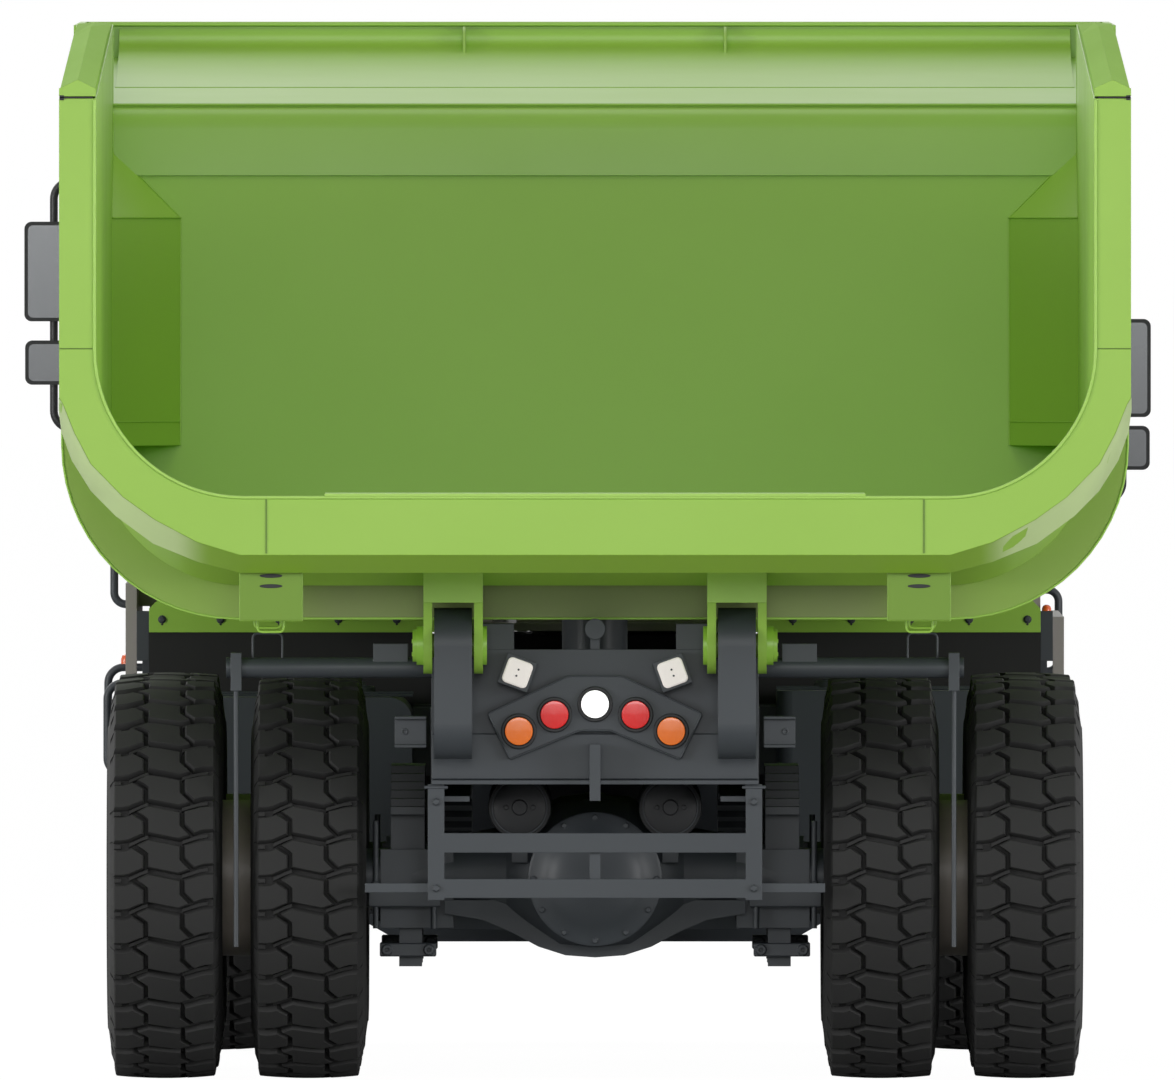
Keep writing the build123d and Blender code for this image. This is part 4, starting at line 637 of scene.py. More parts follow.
def tube(path: Line, radius: float, sides: int = 12, bend: float = 0.0) -> Form:
    """Round bar along a path: a circle of the radius is carried along it, square to the mean direction.

    Args:
        path: Corners of the path.
        radius: Radius of the bar.
        sides: Number of facets round it.
        bend: Length cut from each side of a corner for its arc, 0 for mitred ones.

    Returns:
        The form, closed at both ends.
    """
    line = rounded(np.asarray(path, float), bend) if bend else np.asarray(path, float)
    step = np.diff(line, axis=0)
    step /= np.linalg.norm(step, axis=1, keepdims=True)
    along = np.vstack([step[:1], step[:-1] + step[1:], step[-1:]])
    along /= np.linalg.norm(along, axis=1, keepdims=True)
    side = np.cross(along, np.roll(np.eye(3), int(np.argmin(np.abs(step).sum(0))), 0)[0])
    weak = np.linalg.norm(side, axis=1) < 0.1
    side[weak] = np.cross(along[weak], [0.3, 0.8, 0.52])
    for i in range(1, len(side)):
        side[i] = side[i - 1] - along[i] * np.dot(side[i - 1], along[i])
        side[i] /= np.linalg.norm(side[i])
    side[0] /= np.linalg.norm(side[0])
    other = np.cross(along, side)
    angle = np.arange(sides) * 2 * math.pi / sides
    ring = side[:, None] * np.cos(angle)[None, :, None] + other[:, None] * np.sin(angle)[None, :, None]
    form = Form().grid(line[:, None] + ring * radius, close_v=True, flip=True)
    first = np.arange(sides)[None, :]
    form.faces += [first[:, ::-1], first + (len(line) - 1) * sides]
    return form


def rounded(path: np.ndarray, radius: float, steps: int = 5) -> np.ndarray:
    """Path whose corners are arcs: each corner c becomes points c + t1 (1 - s)^2 + t2 s^2.

    Args:
        path: (n, 3) corners.
        radius: Length cut from each side of a corner.
        steps: Points on each arc.

    Returns:
        (m, 3) points.
    """
    share = np.linspace(0, 1, steps)[:, None]
    pieces = [path[:1]]
    for before, corner, after in zip(path[:-2], path[1:-1], path[2:]):
        back, on = before - corner, after - corner
        back_cut, on_cut = (min(radius / np.linalg.norm(way), 0.49) for way in (back, on))
        pieces.append(corner + back * back_cut * (1 - share) ** 2 + on * on_cut * share**2)
    pieces.append(path[-1:])
    return np.vstack(pieces)


def box_form(low: Point, high: Point, bevel: float) -> Form:
    """Plate or block with bevelled rims between two corners.

    Args:
        low: Lowest corner.
        high: Highest corner.
        bevel: Width of the bevel.

    Returns:
        The form.
    """
    outline = ((low[0], low[1]), (high[0], low[1]), (high[0], high[1]), (low[0], high[1]))
    return slab(outline, low[2], high[2], bevel)


def hex_bolt(across: float, height: float, washer: float) -> Form:
    """Hexagon head with a chamfered top on a round washer, standing on Z = 0.

    Args:
        across: Width across the flats.
        height: Height of the head.
        washer: Radius of the washer.

    Returns:
        The form.
    """
    angle = np.arange(6) * math.pi / 3
    corner = across / math.sqrt(3)
    head = slab(np.stack([np.cos(angle), np.sin(angle)], -1) * corner, 0.0, height, across * 0.08)
    rim = height * 0.2
    return lathe([(washer, 0.0), (washer, rim), (corner * 0.9, rim)], 12).merge(head)


def drawn(section: Line, low: float, high: float, axis: str = "x") -> Form:
    """Straight bar: a closed section is carried along an axis, point(u, v) = section(v) + u along the axis.

    Args:
        section: Corners, anticlockwise in (y, z) for the x axis and in (x, z) for y.
        low: Where the bar starts on the axis.
        high: Where it ends.
        axis: x or y.

    Returns:
        The bar with its end faces.
    """
    along = "xyz".index(axis)
    line = np.asarray(section, float)
    ends = np.zeros((2, len(line), 3))
    ends[:, :, [place for place in range(3) if place != along]] = line
    ends[0, :, along], ends[1, :, along] = low, high
    form = Form().grid(ends, close_v=True, flip=axis != "y")
    first, last = np.arange(len(line))[None, :], np.arange(len(line))[None, :] + len(line)
    form.faces += [first, last[:, ::-1]] if axis == "y" else [first[:, ::-1], last]
    return form


def curve_2d(start: Point, pull: Point, end: Point, steps: int) -> list:
    """Returns points of the curve (1-t)^2 start + 2 t (1-t) pull + t^2 end.

    Args:
        start: First point.
        pull: Point that the curve bends towards.
        end: Last point.
        steps: Number of pieces.
    """
    t = np.linspace(0, 1, steps + 1)[:, None]
    points = (1 - t) ** 2 * np.asarray(start) + 2 * t * (1 - t) * np.asarray(pull) + t ** 2 * np.asarray(end)
    return [tuple(point) for point in points]


def rounded_box(middle: Point, half: Point, radius: float) -> list:
    """Returns the outline of a rectangle with round corners, anticlockwise.

    Args:
        middle: Its middle.
        half: Half its two sides.
        radius: Radius of the corners.
    """
    corners = ((1, 1, 0), (-1, 1, 90), (-1, -1, 180), (1, -1, 270))
    return [(middle[0] + sx * (half[0] - radius) + radius * math.cos(a),
             middle[1] + sz * (half[1] - radius) + radius * math.sin(a))
            for sx, sz, start in corners for a in np.radians(np.linspace(start, start + 90, 6))]


# ---------------------------------------------------------------- the room
@dataclass
class Studio:
    """Pale floor, soft lamps and the camera behind the truck.

    Args:
        eye: Place of the camera.
        drop: Angle in degrees by which it looks down.
        lens: Focal length in millimetres on a 36 mm sensor.
        floor_side: Side of the square floor.
        sky: Strength of the even light from all round.
        glow: Strength of the floor's own light to the camera, and its share beside the floor's paint.
        lamps: Place, aim, side of the square and power in watts of each soft lamp.
    """

    eye: tuple[float, float, float] = (0.0278, 191.1, 3.6)
    drop: float = 0.4865
    lens: float = 1550.0
    floor_side: float = 700.0
    sky: float = 0.25
    glow: tuple[float, float] = (1.06, 0.93)
    lamps: dict[str, tuple] = field(default_factory=lambda: {
        "key_left": ((20.0, 16.0, 4.2), (0, 2, 2), 8.0, 2500.0),
        "key_right": ((-20.0, 16.0, 4.2), (0, 2, 2), 8.0, 2500.0),
        "back": ((0.0, 40.0, 9.0), (0, 0, 2.5), 10.0, 1900.0),
        "top": ((0.0, 2.0, 17.0), (0, 0, 2.5), 8.0, 450.0),
        "front": ((10.0, -22.0, 14.0), (0, 0, 2), 12.0, 1800.0),
    })

    def put(self, name: str, data: bpy.types.ID) -> bpy.types.Object:
        """Returns a new object of the scene.

        Args:
            name: Its name.
            data: Its mesh, lamp or camera.
        """
        made = bpy.data.objects.new(name, data)
        bpy.context.scene.collection.objects.link(made)
        return made

    def camera(self) -> None:
        """Makes the camera and sets it as the scene's own."""
        data = bpy.data.cameras.new("camera")
        data.lens = self.lens
        data.sensor_width = 36.0
        data.clip_end = 1000.0
        camera = self.put("camera", data)
        camera.location = self.eye
        camera.rotation_euler = (math.radians(90 - self.drop), 0.0, math.pi)
        bpy.context.scene.camera = camera

    def world(self) -> None:
        """Even white surroundings: pure white where the camera, a mirror or glass sees them, and softer as light."""
        world = bpy.data.worlds.new("studio")
        bpy.context.scene.world = world
        nodes = Nodes(world, "World")
        rays = nodes.add("LightPath").outputs
        seen = nodes.math("MAXIMUM", rays["Is Camera Ray"], rays["Is Glossy Ray"])
        seen = nodes.math("MAXIMUM", seen, rays["Is Transmission Ray"])
        nodes.finish(nodes.add("Background", {"Color": (1.0, 1.0, 1.0, 1.0),
                                              "Strength": nodes.span(seen, self.sky, 1.0)}))

    def floor(self) -> None:
        """Flat floor that is white to the camera and still takes the soft shadow under the truck."""
        nodes = Nodes(bpy.data.materials.new("studio_floor"))
        paint = nodes.add("BsdfDiffuse", {"Color": linear("#d9d9d9")})
        glow = nodes.add("Emission", {"Color": (1.0, 1.0, 1.0, 1.0), "Strength": self.glow[0]})
        share = nodes.math("MULTIPLY", nodes.add("LightPath").outputs["Is Camera Ray"], self.glow[1])
        material = nodes.finish(nodes.add("MixShader", {0: share, 1: paint.outputs[0], 2: glow.outputs[0]}))
        half = self.floor_side / 2
        mesh = bpy.data.meshes.new("floor")
        mesh.from_pydata([(-half, -half, 0), (half, -half, 0), (half, half, 0), (-half, half, 0)], [], [(0, 1, 2, 3)])
        mesh.materials.append(material)
        self.put("floor", mesh)

    def build(self) -> None:
        """Builds the room."""
        self.camera()
        self.world()
        self.floor()
        for name, (place, aim, size, power) in self.lamps.items():
            data = bpy.data.lights.new(name, "AREA")
            data.size = size
            data.energy = power
            lamp = self.put(name, data)
            lamp.location = place
            lamp.rotation_euler = (Vector(aim) - Vector(place)).to_track_quat("-Z", "Y").to_euler()
        bpy.context.scene.view_settings.view_transform = "Standard"


# ---------------------------------------------------------------- tyres
@dataclass
class MiningTyre:
    """Heavy block tyre. Three rows of blocks stand on a turned carcass.

    Across is 0 at the edge towards +X and 1 at the other. Up is the distance round the tread, upwards at the
    back of the truck.

    Args:
        radius: Radius to the top of the blocks at mid-tread.
        width: Width of the section.
        tread: Width of the tread.
        pitches: Number of block rows round the tyre.
        depth: Depth of the grooves.
        crown: Drop of the tread's edge below its middle.
        bevel: Bevel along the top of the blocks.
        slot: Half width of the grooves between rows.
        line: (across, up) points of the groove that crosses the tread once a pitch.
        wide: (across, half width) points of that groove.
        gaps: (share of the pitch, across) points of the two grooves between the rows.
        bars: (across from, across to, half width, height share) of the low bars in the crossing groove.
        drop: (distance outside the tread's edge, distance below the radius) points that the ribs run through down
            the shoulder, after the edge of the blocks' top.
    """

    radius: float = 0.745
    width: float = 0.430
    tread: float = 0.370
    pitches: int = 36
    depth: float = 0.034
    crown: float = 0.009
    bevel: float = 0.005
    slot: float = 0.009
    line: tuple = ((0.0, 0.0), (0.12, 0.0), (0.33, 0.038), (0.66, 0.013), (0.89, 0.043), (1.0, 0.045))
    wide: tuple = ((0.0, 0.018), (0.2, 0.017), (0.35, 0.012), (0.64, 0.012), (0.8, 0.017), (1.0, 0.018))
    gaps: tuple = (((0.0, 0.316), (0.5, 0.316), (1.0, 0.205)), ((0.0, 0.778), (0.5, 0.684), (1.0, 0.684)))
    bars: tuple = ((0.0, 0.07, 0.009, 0.5), (0.15, 0.34, 0.007, 0.5), (0.68, 0.94, 0.007, 0.5))
    drop: tuple = ((0.003, 0.052), (0.016, 0.090), (0.018, 0.118), (-0.012, 0.128))

    def curve(self, points: tuple, at: np.ndarray) -> np.ndarray:
        """Returns the broken line through points, read at each value of at."""
        table = np.asarray(points)
        return np.interp(at, table[:, 0], table[:, 1])

    def pitch(self) -> float:
        """Returns the distance round the tread from one row to the next."""
        return 2 * math.pi * self.radius / self.pitches

    def ends(self, share: np.ndarray) -> tuple[np.ndarray, np.ndarray]:
        """Returns the lower and upper end of a pitch's blocks at each share across the tread."""
        middle, half = self.curve(self.line, share), self.curve(self.wide, share)
        return middle + half, middle - half + self.pitch()

    def block(self, across: tuple, up: tuple, top: float, foot: float, bevel: float, rows: int = 6,
              columns: int = 4) -> tuple[np.ndarray, list[np.ndarray]]:
        """One block over a grid of shares p across and q up, in (across metres, up metres, radius).

        The point is (a(p, q), b(p, q), r) where a runs between the two side functions of q and b between the two
        end functions of a. The foot ring is pushed out by the bevel, the rim ring lies on the outline below the
        top by the bevel, and the top grid is drawn in by the bevel.

        Args:
            across: Two functions of q, as shares of the tread.
            up: Two functions of the share across.
            top: Radius of the top at mid-tread.
            foot: Radius of the foot.
            bevel: Width of the bevel.
            rows: Cells up the block.
            columns: Cells across the block.

        Returns:
            Vertices, and the blocks of faces.
        """
        q, p = np.meshgrid(np.linspace(0, 1, rows + 1), np.linspace(0, 1, columns + 1), indexing="ij")
        share = across[0](q) + (across[1](q) - across[0](q)) * p
        rise = up[0](share) + (up[1](share) - up[0](share)) * q
        flat = np.stack([(0.5 - share) * self.tread, rise], -1)
        middle = flat.mean((0, 1))
        reach = np.abs(flat - middle).max((0, 1))
        ring = np.concatenate([[(0, j) for j in range(columns)], [(i, columns) for i in range(rows)],
                               [(rows, j) for j in range(columns, 0, -1)], [(i, 0) for i in range(rows, 0, -1)]])
        ring = tuple(ring.T)
        crown = self.crown * (2 * share - 1) ** 2
        edge = flat[ring]
        count = len(edge)
        low = np.column_stack([middle + (edge - middle) * (1 + bevel / reach), np.full(count, foot)])
        rim = np.column_stack([edge, top - crown[ring] - bevel])
        cap = np.dstack([middle + (flat - middle) * (1 - bevel / reach), top - crown]).reshape(-1, 3)
        index = np.arange((rows + 1) * (columns + 1)).reshape(rows + 1, columns + 1) + 2 * count
        here = np.arange(count)
        ahead = (here + 1) % count
        walls = np.stack([here, here + count, ahead + count, ahead], -1)
        bevels = np.stack([here + count, index[ring], index[ring][ahead], ahead + count], -1)
        return np.vstack([low, rim, cap]), [walls, bevels, cells(index)]

    def repeated(self, block: tuple[np.ndarray, list[np.ndarray]], centre: Point) -> Form:
        """Carries a block round the tyre: (a, b, r) becomes (x + a, y + r cos(b / R + k t), z + r sin(...)).

        Args:
            block: Vertices and faces from block().
            centre: Centre of the tyre.

        Returns:
            The form of all copies.
        """
        points, faces = block
        step = 2 * math.pi / self.pitches
        angle = points[None, :, 1] * (step / self.pitch()) + np.arange(self.pitches)[:, None] * step
        placed = np.stack([np.broadcast_to(points[:, 0], angle.shape) + centre[0],
                           points[:, 2] * np.cos(angle) + centre[1], points[:, 2] * np.sin(angle) + centre[2]], -1)
        first = (np.arange(self.pitches) * len(points))[:, None, None]
        return Form().add(placed.reshape(-1, 3), *[(part[None] + first).reshape(-1, 4)[:, ::-1] for part in faces])

    def blocks(self) -> list[tuple[np.ndarray, list[np.ndarray]]]:
        """Returns the three blocks and the low bars of one pitch."""
        slot = self.slot / self.tread
        left, right = self.gaps
        sides = [
            (lambda q: 0 * q, lambda q: self.curve(left, q) - slot),
            (lambda q: self.curve(left, q) + slot, lambda q: self.curve(right, q) - slot),
            (lambda q: self.curve(right, q) + slot, lambda q: 1 + 0 * q),
        ]
        ends = (lambda v: self.ends(v)[0], lambda v: self.ends(v)[1])
        foot = self.radius - self.depth - 0.002
        made = [self.block(side, ends, self.radius, foot, self.bevel) for side in sides]
        for start, stop, half, height in self.bars:
            span = (lambda q, a=start: a + 0 * q, lambda q, b=stop: b + 0 * q)
            rise = (lambda v, w=half: self.curve(self.line, v) - w, lambda v, w=half: self.curve(self.line, v) + w)
            made.append(self.block(span, rise, self.radius - self.depth * (1 - height), foot, 0.002, 1, 3))
        return made

    def carcass(self) -> Form:
        """Turned casing under the blocks: sidewalls with a bulge, rim guard rib and shoulder, about X."""
        half, edge = self.width / 2, self.tread / 2
        side = [(0.331, half - 0.060), (0.338, half - 0.052), (0.352, half - 0.046), (0.366, half - 0.040),
                (0.372, half - 0.030), (0.384, half - 0.028), (0.390, half - 0.022), (0.430, half - 0.010),
                (0.480, half - 0.002), (0.530, half), (0.560, half - 0.001), (0.566, half - 0.004),
                (0.600, half - 0.009), (0.640, edge + 0.016), (0.668, edge + 0.008), (0.690, edge + 0.002),
                (self.radius - self.depth, edge - 0.004)]
        return lathe(side + [(radius, -x) for radius, x in reversed(side)], 96, closed=True)

    def shoulders(self) -> list[tuple[np.ndarray, list[np.ndarray]]]:
        """Returns the ribs that each block drops down the shoulder, one for each edge of the tread."""
        made = []
        edge = self.tread / 2
        path = ((-0.001, self.crown + self.bevel), *self.drop)
        for sign, share in ((1, 0.0), (-1, 1.0)):
            low, high = self.ends(np.array(share)) + np.array((self.bevel, -self.bevel))
            rise = np.linspace(low, high, 4)
            rows = []
            for turn, (out, below) in enumerate(path):
                taper = 0.004 * min(turn, 2)
                heights = np.interp(rise, (low, high), (low + taper, high - taper))
                rows.append([(sign * (edge + out), value, self.radius - below) for value in heights])
            face = np.array(rows)
            inner = face.copy()
            inner[..., 0] = sign * (edge - 0.020)
            index = np.arange(face.shape[0] * face.shape[1]).reshape(face.shape[:2])
            faces = [cells(index)[:, [0, 3, 2, 1]]]
            for column, flip in ((index[:, 0], 1), (index[:, -1], -1)):
                ends = [column[:-1], column[1:], column[1:] + index.size, column[:-1] + index.size]
                faces.append(np.stack(ends, -1)[:, ::flip])
            made.append((np.vstack([face.reshape(-1, 3), inner.reshape(-1, 3)]), [part[:, ::sign] for part in faces]))
        return made

    def build(self, name: str, centres: Iterable[Point], body: str, node: str) -> None:
        """Builds the tyres of one wheel body as one piece.

        Args:
            name: Name of the piece.
            centres: Centre of each tyre.
            body: Body that they ride on.
            node: Node that they stand for.
        """
        form = Form()
        for centre in centres:
            form.merge(self.carcass(), basis("x"), centre)
            for block in self.blocks() + self.shoulders():
                form.merge(self.repeated(block, centre))
        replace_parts(form.make(name, Colour.TYRE, body, "tyre", 35), node)


@dataclass
class Wheels:
    """Tyres of the six wheel bodies.

    Args:
        tyre: The tyre that all ten wheels carry.
        section: Width of a tyre's node.
        axles: Name of each axle, and of its tyres.
    """

    tyre: MiningTyre = field(default_factory=MiningTyre)
    section: float = 0.432
    axles: tuple = (("front", "tyre"), ("mid", "tyres"), ("rear", "tyres"))

    def build(self) -> None:
        """Builds every tyre where its node stands."""
        for axle, kind in self.axles:
            for hand in ("left", "right"):
                node = f"{kind}_{axle}_{hand}"
                low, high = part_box(node)
                x, y, z = ((a + b) / 2 for a, b in zip(low, high))
                half = (high[0] - low[0] - self.section) / 2
                offsets = (half, -half) if half > self.tyre.width / 2 else (0.0,)
                centres = [(x + offset, y, z) for offset in offsets]
                self.tyre.build(node + "_treaded", centres, f"wheel_{axle}_{hand}", node)


# ---------------------------------------------------------------- tipping body
@dataclass
class LoadSpace:
    """Pressings on the inside of the body: the upper front plate with its rounded top, the canopy's scoop
    and the welds of the corner plates.

    Args:
        half: Half width between the side skins.
        foot: Height and place along the truck of the front wall's foot.
        lean: How far the wall leans forward per metre of height.
        seam: Height of the upper plate's lower edge.
        bend: Height at which its rounded top starts.
        top: Height of the wall's top.
        corner: Across position, lower end, fold, top and depth of the corner plates.
        low_seam: Height of the weld round the foot of the corner plates.
        gussets: Distance from the middle of the lip's two gussets.
    """

    half: float = 1.838
    foot: tuple[float, float] = (1.842, -1.500)
    lean: float = 0.2241
    seam: float = 3.351
    bend: float = 3.528
    top: float = 3.627
    corner: tuple[float, float, float, float, float] = (1.578, 2.324, 3.191, 3.451, 0.330)
    low_seam: float = 2.415
    gussets: float = 0.504

    def wall(self, z: float, proud: float = 0.0) -> tuple[float, float]:
        """Returns the (y, z) point on the wall's inner face at a height.

        Args:
            z: Height.
            proud: Distance rearward of the face.
        """
        return self.foot[1] - self.lean * (z - self.foot[0]) + 0.012 + proud, z

    def upper_plate(self) -> Form:
        """Returns the plate above the seam, whose top rolls forward."""
        face = [self.wall(self.seam), self.wall(self.seam + 0.001, 0.008), self.wall(self.bend, 0.028)]
        roll = curve_2d(face[-1], self.wall(3.604, 0.034), self.wall(3.612, 0.001), 10)
        form = drawn(face + roll[1:] + [self.wall(self.bend, -0.008), self.wall(self.seam, -0.008)],
                     -self.half, self.half)
        y, z = self.wall(self.top - 0.006, 0.002)
        return form.merge(tube([(-self.half, y, z), (self.half, y, z)], 0.0055, 8))

    def scoop(self) -> Form:
        """Returns the canopy's pressing: along the plate, then up in a curve to its lip."""
        sweep = curve_2d((-2.75, 3.690), (-4.10, 3.775), (-4.36, 3.850), 14)
        sweep += curve_2d((-4.36, 3.850), (-4.405, 3.872), (-4.407, 3.915), 6)[1:]
        form = drawn(sweep + [(-4.418, 3.915), (-4.418, 3.803), (-2.75, 3.680)], -self.half, self.half)
        form.merge(drawn([(-4.419, 3.926), (-4.395, 3.926), (-4.392, 3.929), (-4.392, 3.9415), (-4.419, 3.9425)],
                         -1.955, 1.955))
        gusset = [(-4.405, 3.80), (-4.20, 3.79), (-4.30, 3.90), (-4.36, 3.924), (-4.405, 3.924)]
        for side in HANDS:
            form.merge(drawn(gusset, side * self.gussets - 0.005, side * self.gussets + 0.005))
        return form

    def welds(self) -> Form:
        """Returns the weld beads round the corner plates and the wall's lower seam."""
        x, low, fold, top, depth = self.corner
        foot, knee, outer, apex, inner_seam, outer_seam = (
            (across, self.wall(z, proud)[0], z) for across, z, proud in (
                (x, low, 0.002), (x, fold, 0.002), (self.half, fold, depth), (self.half - 0.002, top, 0.002),
                (x, self.low_seam, 0.001), (self.half, self.low_seam, depth)))
        form = Form()
        for path, radius in (((foot, knee), 0.004), ((knee, outer), 0.004), ((knee, apex), 0.004),
                             ((outer, apex), 0.003), ((inner_seam, outer_seam), 0.0025)):
            form.rods(path, radius, 6)
        return form

    def closers(self) -> Form:
        """Returns the folded plates that close the side rails' front ends against the canopy."""
        return Form().blocks((self.half - 0.002, -1.930, self.top - 0.015),
                             (self.half + 0.113, -1.790, self.top + 0.294), 0.003)

    def build(self) -> None:
        """Builds the pressings on the tipping body."""
        for form, name, smooth in ((self.upper_plate(), "wall_upper_plate", 40), (self.scoop(), "canopy_scoop", 40),
                                   (self.welds(), "corner_welds", 60), (self.closers(), "rail_end_plates", 40)):
            form.make(name, Colour.LIME, "bed", "body_green", smooth)


@dataclass
class TailRim:
    """Edges, seams and covers of the rim round the body's tail and of the side walls' top.

    Args:
        face: Place of the rim's rear face along the truck.
        half: Half width inside the skin.
        outer: Half width over the rim.
        corner: Radius of the trough's corner.
        floor: Height of the floor at the tail.
        rail: Height of the side walls' top at the tail.
        rise: How far that top rises per metre forward.
        plate: Half width of the wear plate on the floor's end.
        seam: Distance from the middle of the welds through the rim's lower part.
        rows: Heights of the bolts on the side plates, and the plates' distance from the middle.
    """

    face: float = 4.700
    half: float = 1.838
    outer: float = 1.975
    corner: float = 0.540
    floor: float = 2.180
    rail: float = 3.644
    rise: float = 0.04258
    plate: float = 0.997
    seam: float = 1.212
    rows: tuple = ((3.314, 3.391), 1.993)

    def trough(self, beyond: float) -> list[tuple[float, float, float]]:
        """Returns the trough's outline at the rear face, from the left top round to the right top.

        Args:
            beyond: Distance outside the skin's inner face.
        """
        x, z, reach = self.half - self.corner, self.floor + self.corner, self.corner + beyond
        line = [(self.half + beyond, self.face, self.rail - 0.006)]
        line += [(x + reach * math.cos(a), self.face, z + reach * math.sin(a))
                 for a in np.radians(np.linspace(0, -90, 19))]
        return line + [(-x, y, z) for x, y, z in reversed(line)]

    def skin_edge(self) -> Form:
        """Returns the skin's end, a narrow band proud of the rim: a section carried round the trough, with the
        floor's wear plate; both take the lighter lime as a painted highlight.
        """
        rings = [np.array(self.trough(beyond)) + (0, proud, 0)
                 for beyond, proud in ((0.0005, -0.004), (0.0005, 0.004), (0.002, 0.006), (0.010, 0.006),
                                       (0.0115, 0.004), (0.0115, -0.004))]
        form = Form().grid(np.stack(rings, 1), close_v=True, flip=True)
        return form.merge(box_form((-self.plate, self.face - 0.35, self.floor - 0.004),
                                   (self.plate, self.face + 0.008, self.floor + 0.009), 0.003))

    def welds(self) -> Form:
        """Returns the weld seams across the rim's face, posts and skirt, in a darker lime that paints the shade along
        them.
        """
        low, high = self.face - 0.002, self.face + 0.003
        form = Form().blocks((self.seam - 0.002, low, 1.968), (self.seam + 0.002, high, self.floor - 0.013), 0.001)
        return form.blocks((self.half + 0.014, low, 2.720), (self.outer - 0.001, high, 2.724), 0.001)

    def cap(self) -> tuple[Form, Form]:
        """Returns the roof-shaped covers on the side walls' top and the gable plate at the end of each."""
        middle = (self.half + self.outer) / 2
        section = [(self.half + 0.004, 0.002), (self.outer - 0.004, 0.002), (self.outer - 0.004, 0.034),
                   (middle, 0.064), (self.half + 0.004, 0.034)]
        gable = [(self.half + 0.001, 0.008), (self.outer, 0.008), (self.outer, 0.037), (middle, 0.069),
                 (self.half + 0.001, 0.037)]
        form, gables = Form(), Form()
        for side in HANDS:
            rows = [[(side * x, y, self.rail + self.rise * (self.face - y) + z * share) for x, z in section]
                    for y, share in ((self.face - 0.004, 1.0), (-0.37, 0.9), (-1.88, 0.2))]
            form.grid(np.array(rows), close_v=True, flip=side < 0)
            form.faces += [np.arange(form.count() - len(section), form.count())[None, :]]
            line = [(side * x, self.rail + z) for x, z in gable]
            gables.merge(drawn(line[::side], self.face - 0.006, self.face + 0.004, "y"))
        return form, gables

    def gasket(self) -> Form:
        """Returns the black strips between the posts and their caps, each with its drain notch."""
        form = Form()
        for x0, x1, z0, z1 in ((self.half + 0.014, self.outer - 0.001, 0.001, 0.0065),
                               (self.outer - 0.018, self.outer - 0.002, -0.006, 0.012)):
            form.blocks((x0, self.face - 0.02, self.rail + z0), (x1, self.face + 0.0055, self.rail + z1), 0.001)
        return form

    def plate_bolts(self) -> Form:
        """Returns the bolt heads on the plates along the body's sides."""
        form = Form()
        for z in self.rows[0]:
            for axis, x in (("x", self.rows[1]), ("-x", -self.rows[1])):
                form.row(hex_bolt(0.024, 0.010, 0.018), [(x, y, z) for y in np.linspace(-0.40, 2.00, 8)], axis)
        return form

    def build(self) -> None:
        """Builds the rim's edges, welds, covers and bolts on the tipping body."""
        cap, gables = self.cap()
        for form, name, colour, smooth in (
                (self.skin_edge(), "rim_skin_edge", Colour.EDGE, 40), (self.welds(), "rim_welds", Colour.SEAM, None),
                (cap, "side_wall_caps", Colour.MATT, None), (gables, "cap_gables", Colour.LIME, None),
                (self.gasket(), "cap_gaskets", Colour.DARK, None),
                (self.plate_bolts(), "side_plate_bolts", Colour.LIME, None)):
            form.make(name, colour, "bed", "body_green", smooth)


